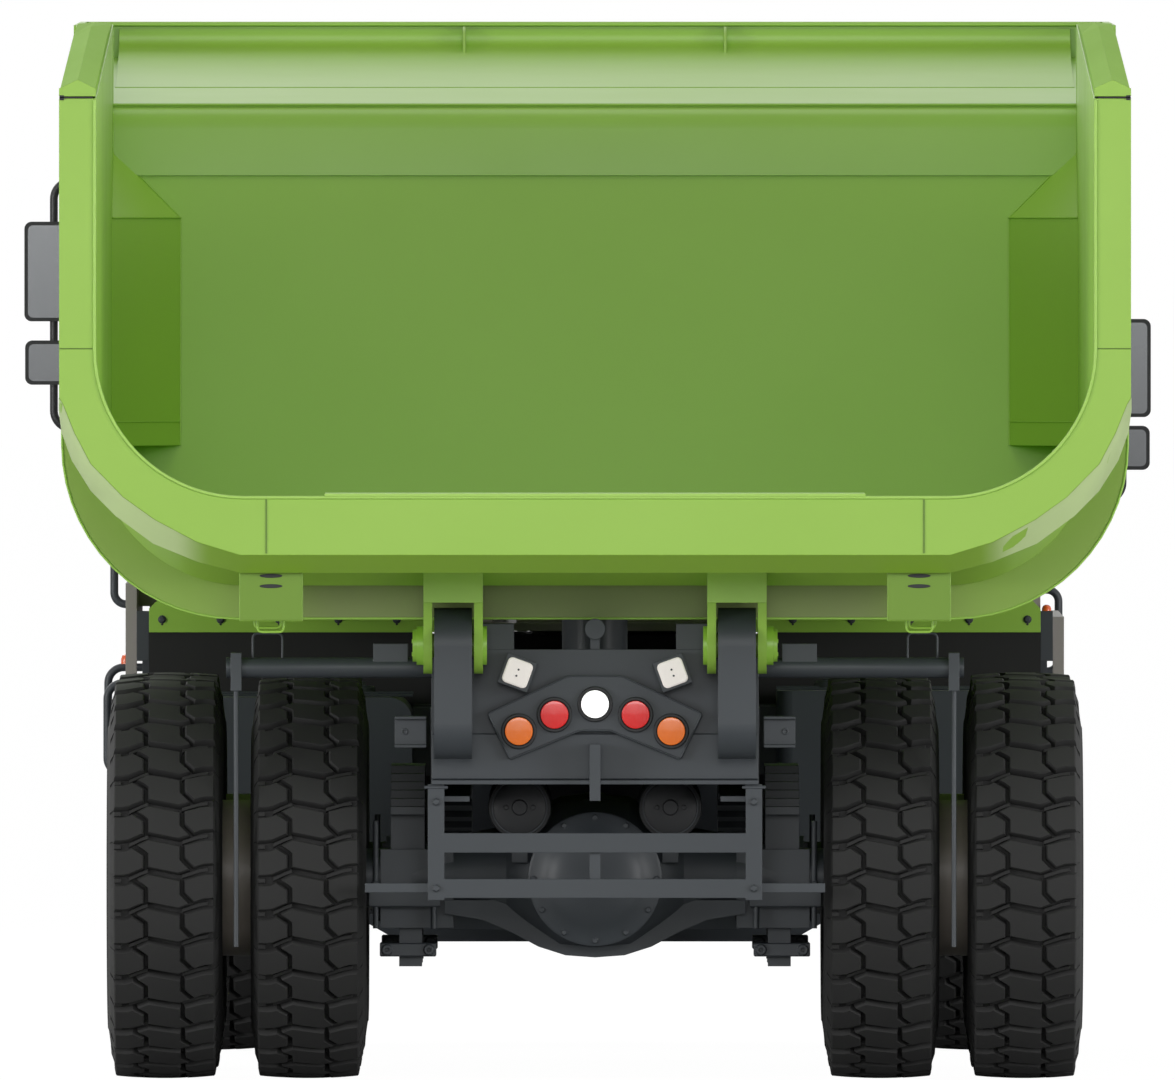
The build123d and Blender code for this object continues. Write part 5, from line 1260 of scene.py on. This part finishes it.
@dataclass
class RimSkirt:
    """Outer skins behind the rim's face: the skirt that turns forward, the last hoop's web and the tail boxes.

    Args:
        centre: Across position and height of the trough corner's centre.
        reach: Radius from that centre to the hoops' outside.
        table: Angle from straight down and depth beyond the reach, of the face's edge and of the skirt's edge.
        side: Half width over the rim, and how far below the centre the face's and the skirt's corners end.
        face: Place of the rim's rear face along the truck.
        hoop: Rear face of the last hoop, its underside, its corner's radius, and the same of the skin inside it.
        box: Inner edge, outer edge, bottom, top and rear face of the tail boxes.
        slots: Heights of the slots in the tail boxes, and half their length and height.
    """

    centre: tuple[float, float] = (1.298, 2.720)
    reach: float = 0.677
    table: tuple = ((0.8, 0.081, 1.0, 0.145), (13.3, 0.053, 12.1, 0.122), (27.4, 0.029, 24.8, 0.110),
                    (38.9, 0.023, 37.4, 0.094), (53.0, 0.024, 47.0, 0.087), (63.6, 0.015, 57.0, 0.073),
                    (73.0, 0.015, 65.3, 0.056))
    side: tuple[float, float, float] = (1.975, 0.178, 0.224)
    face: float = 4.700
    hoop: tuple[float, float, float, float, float, float] = (3.700, 1.717, 0.645, 1.842, 0.552, 1.850)
    box: tuple[float, float, float, float, float] = (1.078, 1.312, 1.719, 1.955, 4.560)
    slots: tuple = ((1.846, 1.884), 0.0425, 0.0075)

    def skirt(self) -> Form:
        """Returns the skirt's skin: a surface between the face's outline and the skirt's front outline. Its finish
        paints shade on the skirt and a sky reflection on its sides.
        """
        rows = []
        for first, y, proud in ((0, self.face + 0.0005, 0.0015), (2, self.face - 0.100, 0.003),
                                (2, self.face - 0.138, 0.003)):
            polar = [(math.radians(row[first]), self.reach + row[first + 1] + proud) for row in self.table]
            half = [(self.centre[0] + r * math.sin(a), y, self.centre[1] - r * math.cos(a)) for a, r in polar]
            half.append((self.side[0] + proud, y, self.centre[1] - self.side[1 if first == 0 else 2]))
            rows.append([(-x, y, z) for x, y, z in reversed(half)] + half)
        return Form().grid(np.array(rows))

    def outline(self, half: float, floor: float, corner: float) -> np.ndarray:
        """Returns a trough's outline as (x, z), from 0.2 m above its left corner to the same on the right.

        Args:
            half: Half width.
            floor: Height of the bottom.
            corner: Radius of the corners.
        """
        right = [(half, floor + corner + 0.2)]
        right += [(half - corner + corner * math.cos(a), floor + corner - corner * math.sin(a))
                  for a in np.radians(np.linspace(0, 90, 15))]
        right += [(x, floor) for x in np.linspace(half - corner, 0, 6)[1:]]
        return np.array(right + [(-x, z) for x, z in reversed(right[:-1])])

    def web(self) -> tuple[Form, Form]:
        """Returns the plate on the last hoop's rear face, painted darker as painted shade, and the flange along its
        outer edge, painted lighter as a painted highlight.
        """
        y, floor, corner, skin_floor, skin_corner, skin_half = self.hoop
        outer = self.outline(self.side[0] - 0.001, floor + 0.001, corner)
        inner = self.outline(skin_half + 0.001, skin_floor - 0.001, skin_corner)
        rows = [np.insert(line, 1, along, axis=1) for line, along in (
            (outer, y - 0.001), (outer, y + 0.003), (inner, y + 0.003), (inner, y - 0.001))]
        return Form().grid(np.array(rows), close_u=True, flip=True), tube(rows[1], 0.0045, 8)

    def boxes(self) -> tuple[Form, Form]:
        """Returns the rear plates of the tail boxes, in the shaded lime, and dark ovals that paint the shadow inside
        their two slots.
        """
        x0, x1, z0, z1, y = self.box
        heights, length, height = self.slots
        # Painted shadow: dark ovals stand proud of the plates where the slots' insides lie in shade.
        slots = Form()
        for side in HANDS:
            for z in heights:
                oval = [(side * (x0 + x1) / 2 + length * math.cos(a), z + height * math.sin(a))
                        for a in np.linspace(0, 2 * math.pi, 24, endpoint=False)]
                slots.merge(drawn(oval, y - 0.002, y + 0.0055, "y"))
        return Form().blocks((x0 + 0.002, y - 0.002, z0), (x1 - 0.002, y + 0.004, z1), 0.002), slots

    def build(self) -> None:
        """Builds the skins on the tipping body."""
        web, flange = self.web()
        plates, slots = self.boxes()
        for form, name, colour, smooth in (
                (self.skirt(), "rim_skirt_skin", Colour.SKIRT, 30), (web, "last_hoop_web", Colour.WEB, None),
                (flange, "last_hoop_flange", Colour.EDGE, 60), (plates, "tail_box_plates", Colour.BOX, None),
                (slots, "tail_box_slot_shadows", Colour.DARK, None)):
            form.make(name, colour, "bed", "body_green", smooth)


# ---------------------------------------------------------------- tail
@dataclass
class TailLamps:
    """Lenses and bezels of the five round tail lamps and the two work lamps.

    Args:
        face: Place of the lamps' rear face along the truck.
        round_lamps: Across position, height and finish of each round lamp.
        lens: Radius of a round lens.
        work: Across position, height, half side and turn in degrees of the work lamps.
        work_face: Place of their rear face along the truck.
        border: Corners of the chevron plate's right half, and its face along the truck.
    """

    face: float = 3.835
    round_lamps: tuple = ((0.0, 1.402, Colour.WHITE), (0.150, 1.363, Colour.RED), (-0.150, 1.363, Colour.RED),
                          (0.282, 1.302, Colour.ORANGE), (-0.282, 1.302, Colour.ORANGE))
    lens: float = 0.0515
    work: tuple[float, float, float, float] = (0.287, 1.519, 0.0485, 20.0)
    work_face: float = 3.860
    border: tuple = (((0.100, 1.506), (0.397, 1.367), (0.315, 1.198), (0.057, 1.304)), 3.811)

    def round_parts(self) -> None:
        """Builds the lenses and bezels of the round lamps."""
        r = self.lens
        dome = lathe([(r, -0.002), (r, 0.003), (r - 0.002, 0.005), (r - 0.016, 0.0058), (0, 0.0062)], 40)
        ring = lathe([(0.0525, -0.004), (0.064, -0.004), (0.0655, 0.0), (0.063, 0.004), (0.0545, 0.004),
                      (0.0525, 0.0)], 40, closed=True)
        bezels = Form()
        for number, (x, z, finish) in enumerate(self.round_lamps):
            lens = Form().merge(dome, basis("y"), (x, self.face, z))
            lens.make(f"tail_lens_{number + 1}", finish, "chassis", "lamp", 40)
            bezels.merge(ring, basis("y"), (x, self.face - 0.011, z))
        bezels.make("tail_lamp_bezels", Colour.DARK, "chassis", "lamp_plate", 40)

    def work_parts(self) -> None:
        """Builds the lenses and screws of the work lamps, each turned about Y towards the middle."""
        x, z, half, angle = self.work
        pane = slab(rounded_box((0, 0), (half, half), 0.018), -0.002, 0.010, 0.004)
        screw = lathe([(0.004, 0), (0.004, 0.0115), (0, 0.0125)], 10)
        lenses, heads = Form(), Form()
        for side in HANDS:
            c, s = math.cos(math.radians(angle)), -side * math.sin(math.radians(angle))
            turn = np.array(((c, 0, s), (0, 1, 0), (-s, 0, c))) @ basis("y")
            middle = np.array((side * x, self.work_face, z))
            lenses.merge(pane, turn, middle)
            for spot in (-0.012, 0.012):
                heads.merge(screw, turn, middle + turn @ (spot, 0, 0))
        lenses.make("work_lamp_lenses", Colour.CREAM, "chassis", "lamp", 40)
        heads.make("work_lamp_screws", Colour.SLATE, "chassis", "lamp_plate", 40)

    def build(self) -> None:
        """Builds the lamps' parts and the chevron's border on the chassis."""
        self.round_parts()
        self.work_parts()
        corners, y = self.border
        line = [(-x, y, z) for x, z in reversed(corners)] + [(x, y, z) for x, z in corners]
        tube(line + line[:1], 0.0035, 8, 0.012).make("chevron_border", Colour.SLATE, "chassis", "lamp_plate", 60)


@dataclass
class MirrorGlass:
    """Silvered glasses of the four mirror heads.

    Args:
        face: Place of the heads' rear face along the truck.
        heads: Left edge, right edge, bottom and top of each head.
        rim: Width of plastic left round the glass.
        corner: Radius of the glasses' corners.
    """

    face: float = -4.390
    heads: tuple = ((1.997, 2.204, 2.785, 3.170), (2.012, 2.201, 2.540, 2.711), (-2.149, -1.950, 2.415, 2.794),
                    (-2.145, -1.965, 2.211, 2.381))
    rim: float = 0.014
    corner: float = 0.02

    def build(self) -> None:
        """Builds the glasses on the chassis."""
        form = Form()
        for x0, x1, z0, z1 in self.heads:
            line = rounded_box(((x0 + x1) / 2, (z0 + z1) / 2), ((x1 - x0) / 2 - self.rim, (z1 - z0) / 2 - self.rim),
                               self.corner)
            form.merge(drawn(line, self.face - 0.002, self.face + 0.003, "y"))
        form.make("mirror_glasses", Colour.MIRROR, "chassis", "mirror_plastic")


@dataclass
class TailFittings:
    """Small fittings seen from behind: panel bolts, wire loops, marker lamps and pin caps.

    Args:
        panel: Place of the splash panels' rear face, and the height of their bolts.
        bolts: Distances of those bolts from the middle.
        pin: Distance of the hinge pins' ends from the middle, and the pins' place along the truck and height.
    """

    panel: tuple[float, float] = (-1.800, 1.659)
    bolts: tuple[float, ...] = (0.755, 0.978, 1.204, 1.427, 1.650)
    pin: tuple[float, float, float] = (0.661, 3.900, 1.620)

    def loops(self) -> None:
        """Builds the green loops under the tail's boxes and the slate ones on the ejectors' tubes."""
        green = Form().blocks((1.080, 4.31, 1.792), (1.310, 4.55, 1.800), 0.002)
        for y, x0, x1, z in ((4.45, 1.149, 1.245, 1.676), (4.35, 1.160, 1.256, 1.690)):
            green.rods([(x0, y, 1.800), (x0, y, z), (x1, y, z), (x1, y, 1.800)], 0.0048, 10, 0.018)
        green.make("tail_box_loops", Colour.LIME, "bed", "body_green", 60)
        slate = Form().rods([(1.158, 3.65, 1.560), (1.158, 3.65, 1.662), (1.268, 3.65, 1.662), (1.268, 3.65, 1.560)],
                            0.0045, 10, 0.02)
        slate.make("ejector_loops", Colour.SLATE, "chassis", "frame_slate", 60)

    def panel_bolts(self) -> None:
        """Builds the washered bolts along the splash panels and the plugs under them."""
        y, z = self.panel
        places = [(side * x, y, z) for x in self.bolts for side in HANDS]
        form = Form().row(hex_bolt(0.020, 0.012, 0.016), places, "y")
        form.make("panel_bolts", Colour.SLATE, "chassis", "frame_slate")
        plug = lathe([(0.0045, -0.001), (0.0045, 0.0015), (0, 0.0015)], 12)
        form = Form().row(plug, [(x, y, z - 0.018) for x, y, z in places], "y")
        form.make("panel_plugs", Colour.DARK, "chassis", "frame_slate")

    def markers(self) -> None:
        """Builds the amber marker lamps at both rear corners of the deck."""
        dome = lathe([(0.018, 0), (0.018, 0.010), (0.014, 0.019), (0.006, 0.0235), (0, 0.024)], 24)
        form = Form().merge(dome, None, (-1.7235, -1.865, 1.691))
        form.merge(lathe([(0.019, 0), (0.019, 0.020), (0.014, 0.034), (0, 0.040)], 24), None, (1.808, -4.0, 1.465))
        form.make("marker_lamps", Colour.MARKER, "chassis", "lamp", 40)

    def pins(self) -> None:
        """Builds the keeper plates and bolts on the ends of the body's hinge pins."""
        x, y, z = self.pin
        plate = lathe([(0.052, 0), (0.052, 0.006), (0.048, 0.009), (0, 0.009)], 32)
        keepers = Form()
        for axis, side in (("x", 1), ("-x", -1)):
            keepers.merge(plate, basis(axis), (side * x, y, z))
            spots = circle((side * (x + 0.009), y, z), 0.032, 3, axis, 30)
            keepers.row(hex_bolt(0.016, 0.008, 0.011), spots, axis)
        keepers.make("hinge_pin_keepers", Colour.LIME, "bed", "body_green", 40)

    def build(self) -> None:
        """Builds all of them."""
        self.loops()
        self.panel_bolts()
        self.markers()
        self.pins()


@dataclass
class DriveAxles:
    """Castings and fittings of the two drive axles and of the frame round them.

    Args:
        axles: Places of the axles along the truck.
        height: Height of the axles.
        cover: Radius of the banjo's rear cover.
        chamber: Across position, height and radius of the brake chambers.
        plates: Inner edge, outer edge, bottom, top and half length of the plates at a spring's seat.
        brackets: Lowest and highest corner of each bracket on the left of the frame's tail.
    """

    axles: tuple[float, float] = (1.250, 2.950)
    height: float = 0.746
    cover: float = 0.249
    chamber: tuple[float, float, float] = (0.280, 1.013, 0.104)
    plates: tuple = ((0.575, 0.840, 0.640, 0.700, 0.165), (0.590, 0.800, 0.455, 0.505, 0.125),
                     (0.560, 0.860, 0.700, 0.716, 0.185))
    brackets: tuple = (
        ((0.625, 3.735, 1.245), (0.742, 3.765, 1.352)), ((0.625, 3.700, 1.345), (0.742, 3.790, 1.357)),
        ((0.625, 3.700, 1.240), (0.742, 3.790, 1.252)), ((0.300, 3.746, 1.600), (0.430, 3.774, 1.700)),
        ((0.545, 3.742, 1.088), (0.632, 3.802, 1.100)), ((0.455, 3.782, 1.290), (0.462, 3.800, 1.560)),
        ((0.588, 3.782, 1.290), (0.595, 3.800, 1.560)),
    )

    def banjo(self, y: float) -> Form:
        """Returns the domed cover with its bolts and the bowl-shaped web round the housing.

        Args:
            y: Place of the axle along the truck.
        """
        r = self.cover
        dome = lathe([(r, 0), (r, 0.008), (r - 0.012, 0.014), (r - 0.045, 0.018), (r - 0.070, 0.040),
                      (r - 0.120, 0.062), (0.06, 0.074), (0, 0.076)], 48)
        form = Form().merge(dome, basis("y"), (0, y + 0.300, self.height))
        form.row(hex_bolt(0.018, 0.009, 0.012), circle((0, y + 0.314, self.height), r - 0.020, 12, "y"), "y")
        right = [(0.0, 0.452), (0.11, 0.460), (0.21, 0.492), (0.31, 0.545), (0.42, 0.592), (0.56, 0.615),
                 (0.56, 0.665), (0.30, 0.665)]
        line = [(-x, z) for x, z in reversed(right[1:])] + right
        return form.merge(drawn(line, y + 0.110, y + 0.140, "y"))

    def chambers(self, y: float) -> Form:
        """Returns the clamp bands, covers, ports and pipes of an axle's brake chambers.

        Args:
            y: Place of the axle along the truck.
        """
        x, z, r = self.chamber
        band = lathe([(r - 0.004, -0.014), (r + 0.010, -0.014), (r + 0.014, -0.006), (r + 0.014, 0.006),
                      (r + 0.010, 0.014), (r - 0.004, 0.014)], 36, closed=True)
        cap = lathe([(r - 0.004, 0), (r - 0.006, 0.012), (r - 0.030, 0.026), (0.030, 0.030), (0.026, 0.042),
                     (0, 0.044)], 36)
        form = Form().rods([(x, y + 0.28, z + r), (x, y + 0.28, z + 0.16), (0.42, y + 0.28, z + 0.17),
                            (0.42, y + 0.18, z + 0.17)], 0.009, 8, 0.03)
        for side in HANDS:
            form.row(band, [(side * x, y + along, z) for along in (0.230, 0.330)], "y")
            form.merge(cap, basis("y"), (side * x, y + 0.379, z))
            ports = [(side * (x + shift), y + 0.400, z) for shift in (0.05, -0.05)]
            form.row(hex_bolt(0.016, 0.010, 0.011), ports, "y")
        return form

    def seats(self, y: float) -> Form:
        """Returns the clamp plates, U-bolts and bosses at the springs' seats.

        Args:
            y: Place of the axle along the truck.
        """
        form = Form()
        for x0, x1, z0, z1, reach in self.plates:
            form.blocks((x0, y - reach, z0), (x1, y + reach, z1), 0.004)
        boss = lathe([(0.021, 0), (0.021, 0.010), (0.017, 0.014), (0.008, 0.014), (0.008, 0.004), (0, 0.004)], 24)
        form.row(boss, [(side * x, y + 0.125, 0.480) for side in HANDS for x in (0.617, 0.773)], "y")
        for x in (0.600, 0.815):
            form.rods([(x, y + 0.150, 0.560), (x, y + 0.150, 0.960)], 0.011, 10)
            form.row(hex_bolt(0.028, 0.018, 0.018), [(side * x, y + 0.150, 0.716) for side in HANDS])
        return form

    def frame(self) -> Form:
        """Returns the brackets, channels and boxes on the frame's tail."""
        form = box_form((-0.604, 3.776, 1.122), (0.604, 3.790, 1.293), 0.004)
        for low, high in self.brackets:
            form.blocks(low, high, 0.002)
        plug = lathe([(0.012, 0), (0.012, 0.004), (0.007, 0.004), (0.006, 0.001), (0, 0.001)], 20)
        form.row(plug, [(side * 0.705, 3.765, 1.300) for side in HANDS], "y")
        places = [(side * 0.588, 3.801, z) for side in HANDS for z in (0.72, 1.04)]
        return form.row(hex_bolt(0.022, 0.012, 0.016), places, "y")

    def build(self) -> None:
        """Builds the axles' castings and the frame's fittings on the chassis."""
        for number, y in enumerate(self.axles, 1):
            self.banjo(y).make(f"banjo_cover_{number}", Colour.SLATE, "chassis", "frame_slate", 35)
            self.chambers(y).make(f"brake_chamber_bands_{number}", Colour.DARK, "chassis", "frame_slate", 40)
            self.seats(y).make(f"spring_seats_{number}", Colour.SLATE, "chassis", "frame_slate", 40)
        self.frame().make("tail_brackets", Colour.SLATE, "chassis", "frame_slate", 40)


@dataclass
class WheelHardware:
    """Nuts and hub covers of the wheels.

    Args:
        axles: Name, place along the truck, disc face, hub face and cover radius of each axle's wheels.
        ring: Radius of the nuts' circle.
        height: Height of the axles.
    """

    axles: tuple = (("front", -2.750, 1.5275, 1.591, 0.150), ("mid", 1.250, 1.5255, 1.732, 0.175),
                    ("rear", 2.950, 1.5255, 1.732, 0.175))
    ring: float = 0.245
    height: float = 0.746

    def build(self) -> None:
        """Builds each wheel's fittings on its own body."""
        for name, y, disc, hub, r in self.axles:
            cover = lathe([(r, -0.002), (r, 0.010), (r - 0.006, 0.014), (r - 0.040, 0.016), (r - 0.060, 0.030),
                           (0.050, 0.036), (0.045, 0.046), (0, 0.048)], 40)
            for hand, axis, side in (("left", "x", 1), ("right", "-x", -1)):
                body = f"wheel_{name}_{hand}"
                form = Form().merge(cover, basis(axis), (side * hub, y, self.height))
                for x, reach, count, nut in ((disc, self.ring, 12, hex_bolt(0.032, 0.024, 0.022)),
                                             (hub + 0.014, r - 0.022, 10, hex_bolt(0.018, 0.010, 0.012))):
                    form.row(nut, circle((side * x, y, self.height), reach, count, axis), axis)
                form.make(f"{body}_nuts", Colour.RIM, body, "rim", 35)


@dataclass
class FrontFittings:
    """Fittings of the cab, hood and bumper: lamp lenses, wipers, seals, handle, straps and bands.

    Args:
        cab: Left face, right face, front and rear of the cab.
        door: Front edge, rear edge, bottom and top of the door.
        rake: How far the windscreen leans back per metre of height, and the height where that starts.
        tanks: Side, front, rear, inner face, outer face, bottom, top and corner of each tank.
        grips: Left edge, right edge, front and rear of each field of grip strips on the deck.
        strip: Spacing and width of those strips, and the height of their foot and top.
        cleaner: Across position of the air cleaners, their places along the truck and their bands' heights.
    """

    cab: tuple[float, float, float, float] = (1.790, 0.330, -4.480, -2.780)
    door: tuple[float, float, float, float] = (-4.150, -3.050, 1.790, 3.290)
    rake: tuple[float, float] = (0.1930, 2.28)
    tanks: tuple = ((1, -1.700, -0.250, 0.690, 1.640, 0.720, 1.380, 0.09),
                    (-1, -1.700, -0.700, 0.690, 1.500, 0.760, 1.400, 0.012))
    grips: tuple = ((-1.60, -1.30, -3.80, -3.30), (-1.20, -0.50, -2.45, -2.32))
    strip: tuple[float, float, float, float] = (0.04, 0.012, 1.638, 1.644)
    cleaner: tuple = (-1.457, (-3.000, -2.555), (1.78, 2.16))

    def screen(self, z: float, proud: float) -> float:
        """Returns the windscreen's place along the truck at a height.

        Args:
            z: Height.
            proud: Distance in front of the glass.
        """
        return self.cab[2] + self.rake[0] * (z - self.rake[1]) - proud

    def door_parts(self) -> None:
        """Builds the door's handle and the seal round its edge; they swing with it."""
        front, rear, low, high = self.door
        x, y = self.cab[0], rear - 0.13
        form = tube([(x, y, 2.20), (x + 0.035, y, 2.20), (x + 0.035, y, 2.36), (x, y, 2.36)], 0.011, 12, 0.02)
        form.merge(box_form((x - 0.001, rear - 0.16, 2.12), (x + 0.005, rear - 0.10, 2.40), 0.002))
        form.make("door_handle", Colour.TRIM, "door", "mirror_plastic", 40)
        y0, y1, z0, z1 = front + 0.008, rear - 0.008, low + 0.012, high - 0.012
        line = [(x + 0.001, y, z) for y, z in ((y0, z0), (y1, z0), (y1, z1), (y0, z1), (y0, z0))]
        tube(line, 0.004, 8, 0.03).make("door_edge_seal", Colour.TRIM, "door", "mirror_plastic", 60)

    def wipers(self) -> None:
        """Builds the wipers before the windscreen."""
        form = Form()
        hub = lathe([(0.018, 0), (0.018, 0.02), (0.008, 0.026), (0, 0.026)], 20)
        base, middle, top = (self.screen(z, 0.016) for z in (2.30, 2.60, 3.00))
        for x in (0.62, 1.28):
            form.merge(hub, basis("-y"), (x, base + 0.018, 2.30))
            form.merge(tube([(x, base, 2.30), (x + 0.30, middle, 2.60)], 0.006, 8))
            form.merge(tube([(x + 0.28, base + 0.02, 2.36), (x + 0.28, top, 3.00)], 0.005, 8))
        form.make("wipers", Colour.TRIM, "chassis", "mirror_plastic", 60)

    def seals(self) -> None:
        """Builds the rubber seals round the cab's fixed windows and the gutter round its roof."""
        left, right, _, rear = self.cab
        low, high = ((self.screen(z, 0.002), z) for z in (2.34, 3.26))
        across, behind = (right + 0.09, left - 0.09), (right + 0.26, left - 0.26)
        panes = (
            [(across[0], *low), (across[1], *low), (across[1], *high), (across[0], *high)],
            [(behind[i], rear + 0.002, z) for i, z in ((0, 2.52), (1, 2.52), (1, 3.18), (0, 3.18))],
            [(right - 0.002, y, z) for y, z in ((-4.15, 2.42), (-3.05, 2.42), (-3.05, 3.22), (-4.15, 3.22))],
        )
        form = Form()
        for line in panes:
            form.merge(tube(line + line[:1], 0.011, 8, 0.04))
        form.make("window_seals", Colour.TRIM, "chassis", "mirror_plastic", 60)
        x0, y0, z0 = right - 0.006, self.screen(3.40, 0.006), 3.396
        x1, y1, z1 = left + 0.006, rear + 0.006, 3.424
        roof = Form()
        for low, high in (((x0, y0, z0), (x0 + 0.012, y1, z1)), ((x1 - 0.012, y0, z0), (x1, y1, z1)),
                          ((x0, y0, z0), (x1, y0 + 0.016, z1)), ((x0, y1 - 0.012, z0), (x1, y1, z1))):
            roof.merge(box_form(low, high, 0.003))
        roof.make("roof_gutter", Colour.WARM_GREY, "chassis", "cab_grey")

    def lamps(self) -> None:
        """Builds the headlamps' lenses, reflector rings and bezels."""
        dome = lathe([(0.050, 0), (0.050, 0.006), (0.040, 0.011), (0, 0.014)], 32)
        ring = lathe([(0.051, 0), (0.060, 0), (0.060, 0.012), (0.055, 0.016), (0.051, 0.012)], 32, closed=True)
        spots = [(side * x, z) for side in HANDS for x, z in ((1.155, 0.915), (1.305, 0.915))]
        lenses = Form().row(dome, [(x, -4.686, z) for x, z in spots], "-y")
        bezels = Form().row(ring, [(x, -4.684, z) for x, z in spots], "-y")
        frame = ((1.075, 0.845), (1.385, 0.845), (1.385, 0.985), (1.075, 0.985), (1.075, 0.845))
        bezels.rods([(x, -4.701, z) for x, z in frame], 0.006, 8, 0.02)
        lenses.make("headlamp_lenses", Colour.CREAM, "chassis", "lamp", 40)
        bezels.make("headlamp_bezels", Colour.DARK, "chassis", "lamp_plate", 40)

    def straps(self) -> None:
        """Builds the bumper's bolts, and the straps and fillers of the tanks."""
        places = [(side * x, -4.700, z) for side in HANDS for x in (0.47, 0.58) for z in (0.86, 1.05)]
        form = Form().row(hex_bolt(0.030, 0.014, 0.024), places, "-y")
        filler = lathe([(0.055, -0.002), (0.055, 0.022), (0.048, 0.030), (0.020, 0.032), (0.018, 0.046),
                        (0, 0.048)], 32)
        for side, y0, y1, x0, x1, z0, z1, bend in self.tanks:
            line = ((x0, z1 + 0.004), (x1 + 0.004, z1 + 0.004), (x1 + 0.004, z0 - 0.004), (x0, z0 - 0.004))
            for share in (0.22, 0.78):
                for shift in (-0.018, -0.006, 0.006, 0.018):
                    y = y0 + (y1 - y0) * share + shift
                    form.merge(tube([(side * x, y, z) for x, z in line], 0.006, 6, bend))
            form.merge(filler, None, (side * (x0 + 0.20), y0 + 0.20, z1))
        form.make("tank_straps", Colour.SLATE, "chassis", "tank", 40)

    def deck(self) -> None:
        """Builds the deck's grip strips, and the bands and caps of the air cleaners."""
        gap, width, foot, top = self.strip
        pads = Form()
        for x0, x1, y0, y1 in self.grips:
            for y in np.arange(y0, y1, gap):
                pads.merge(box_form((x0, y, foot), (x1, y + width, top), 0.001))
        pads.make("deck_grip_strips", Colour.DARK, "chassis", "cab_grey")
        x, places, heights = self.cleaner
        ring = lathe([(0.164, -0.015), (0.170, -0.013), (0.170, 0.013), (0.164, 0.015)], 40, closed=True)
        cap = lathe([(0.113, 0), (0.122, 0.004), (0.122, 0.012), (0.100, 0.020), (0, 0.026)], 40)
        bands = Form().row(ring, [(x, y, z) for y in places for z in heights])
        bands.row(cap, [(x, y, 2.338) for y in places])
        bands.make("cleaner_bands", Colour.TRIM, "chassis", "cleaner", 40)

    def build(self) -> None:
        """Builds all of them."""
        self.door_parts()
        self.wipers()
        self.seals()
        self.lamps()
        self.straps()
        self.deck()


@dataclass
class Dressing:
    """Finish of every node of the frame, by its material slot.

    Args:
        finishes: Slot name to finish.
    """

    frame: dict
    finishes: dict[str, Colour]

    def build(self) -> None:
        """Puts the finish of its slot on each node."""
        for name, node in self.frame["nodes"].items():
            for slot in node.material_slots:
                key = slot.material.name.split(".")[0] if slot.material else ""
                finish = self.finishes.get(key)
                if finish is None:
                    LOG.warning("%s has no finish for %s", name, key)
                else:
                    slot.material = finish.material()


def main() -> None:
    """Builds the truck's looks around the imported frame, piece by piece."""
    logging.basicConfig(level=logging.INFO, format="%(name)s: %(message)s")
    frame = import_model()
    Studio().build()
    Dressing(frame, {
        "body_green": Colour.LIME,
        "frame_slate": Colour.SLATE,
        "cab_grey": Colour.WARM_GREY,
        "tyre": Colour.TYRE,
        "rim": Colour.RIM,
        "flap_rubber": Colour.FLAP,
        "engine": Colour.DARK,
        "tank": Colour.SLATE,
        "handrail": Colour.SLATE,
        "mirror_plastic": Colour.TRIM,
        "cleaner": Colour.DARK,
        "exhaust": Colour.EXHAUST,
        "glass": Colour.GLASS,
        "interior": Colour.TRIM,
        "lamp": Colour.CLEAR,
        "lamp_plate": Colour.SLATE,
        "hoist": Colour.SLATE,
        "hoist_rod": Colour.CHROME,
    }).build()
    Wheels().build()
    for group in (LoadSpace(), TailRim(), RimSkirt(), TailLamps(), MirrorGlass(), TailFittings(), DriveAxles(),
                  WheelHardware(), FrontFittings()):
        group.build()
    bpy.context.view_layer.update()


if __name__ == "__main__":
    main()
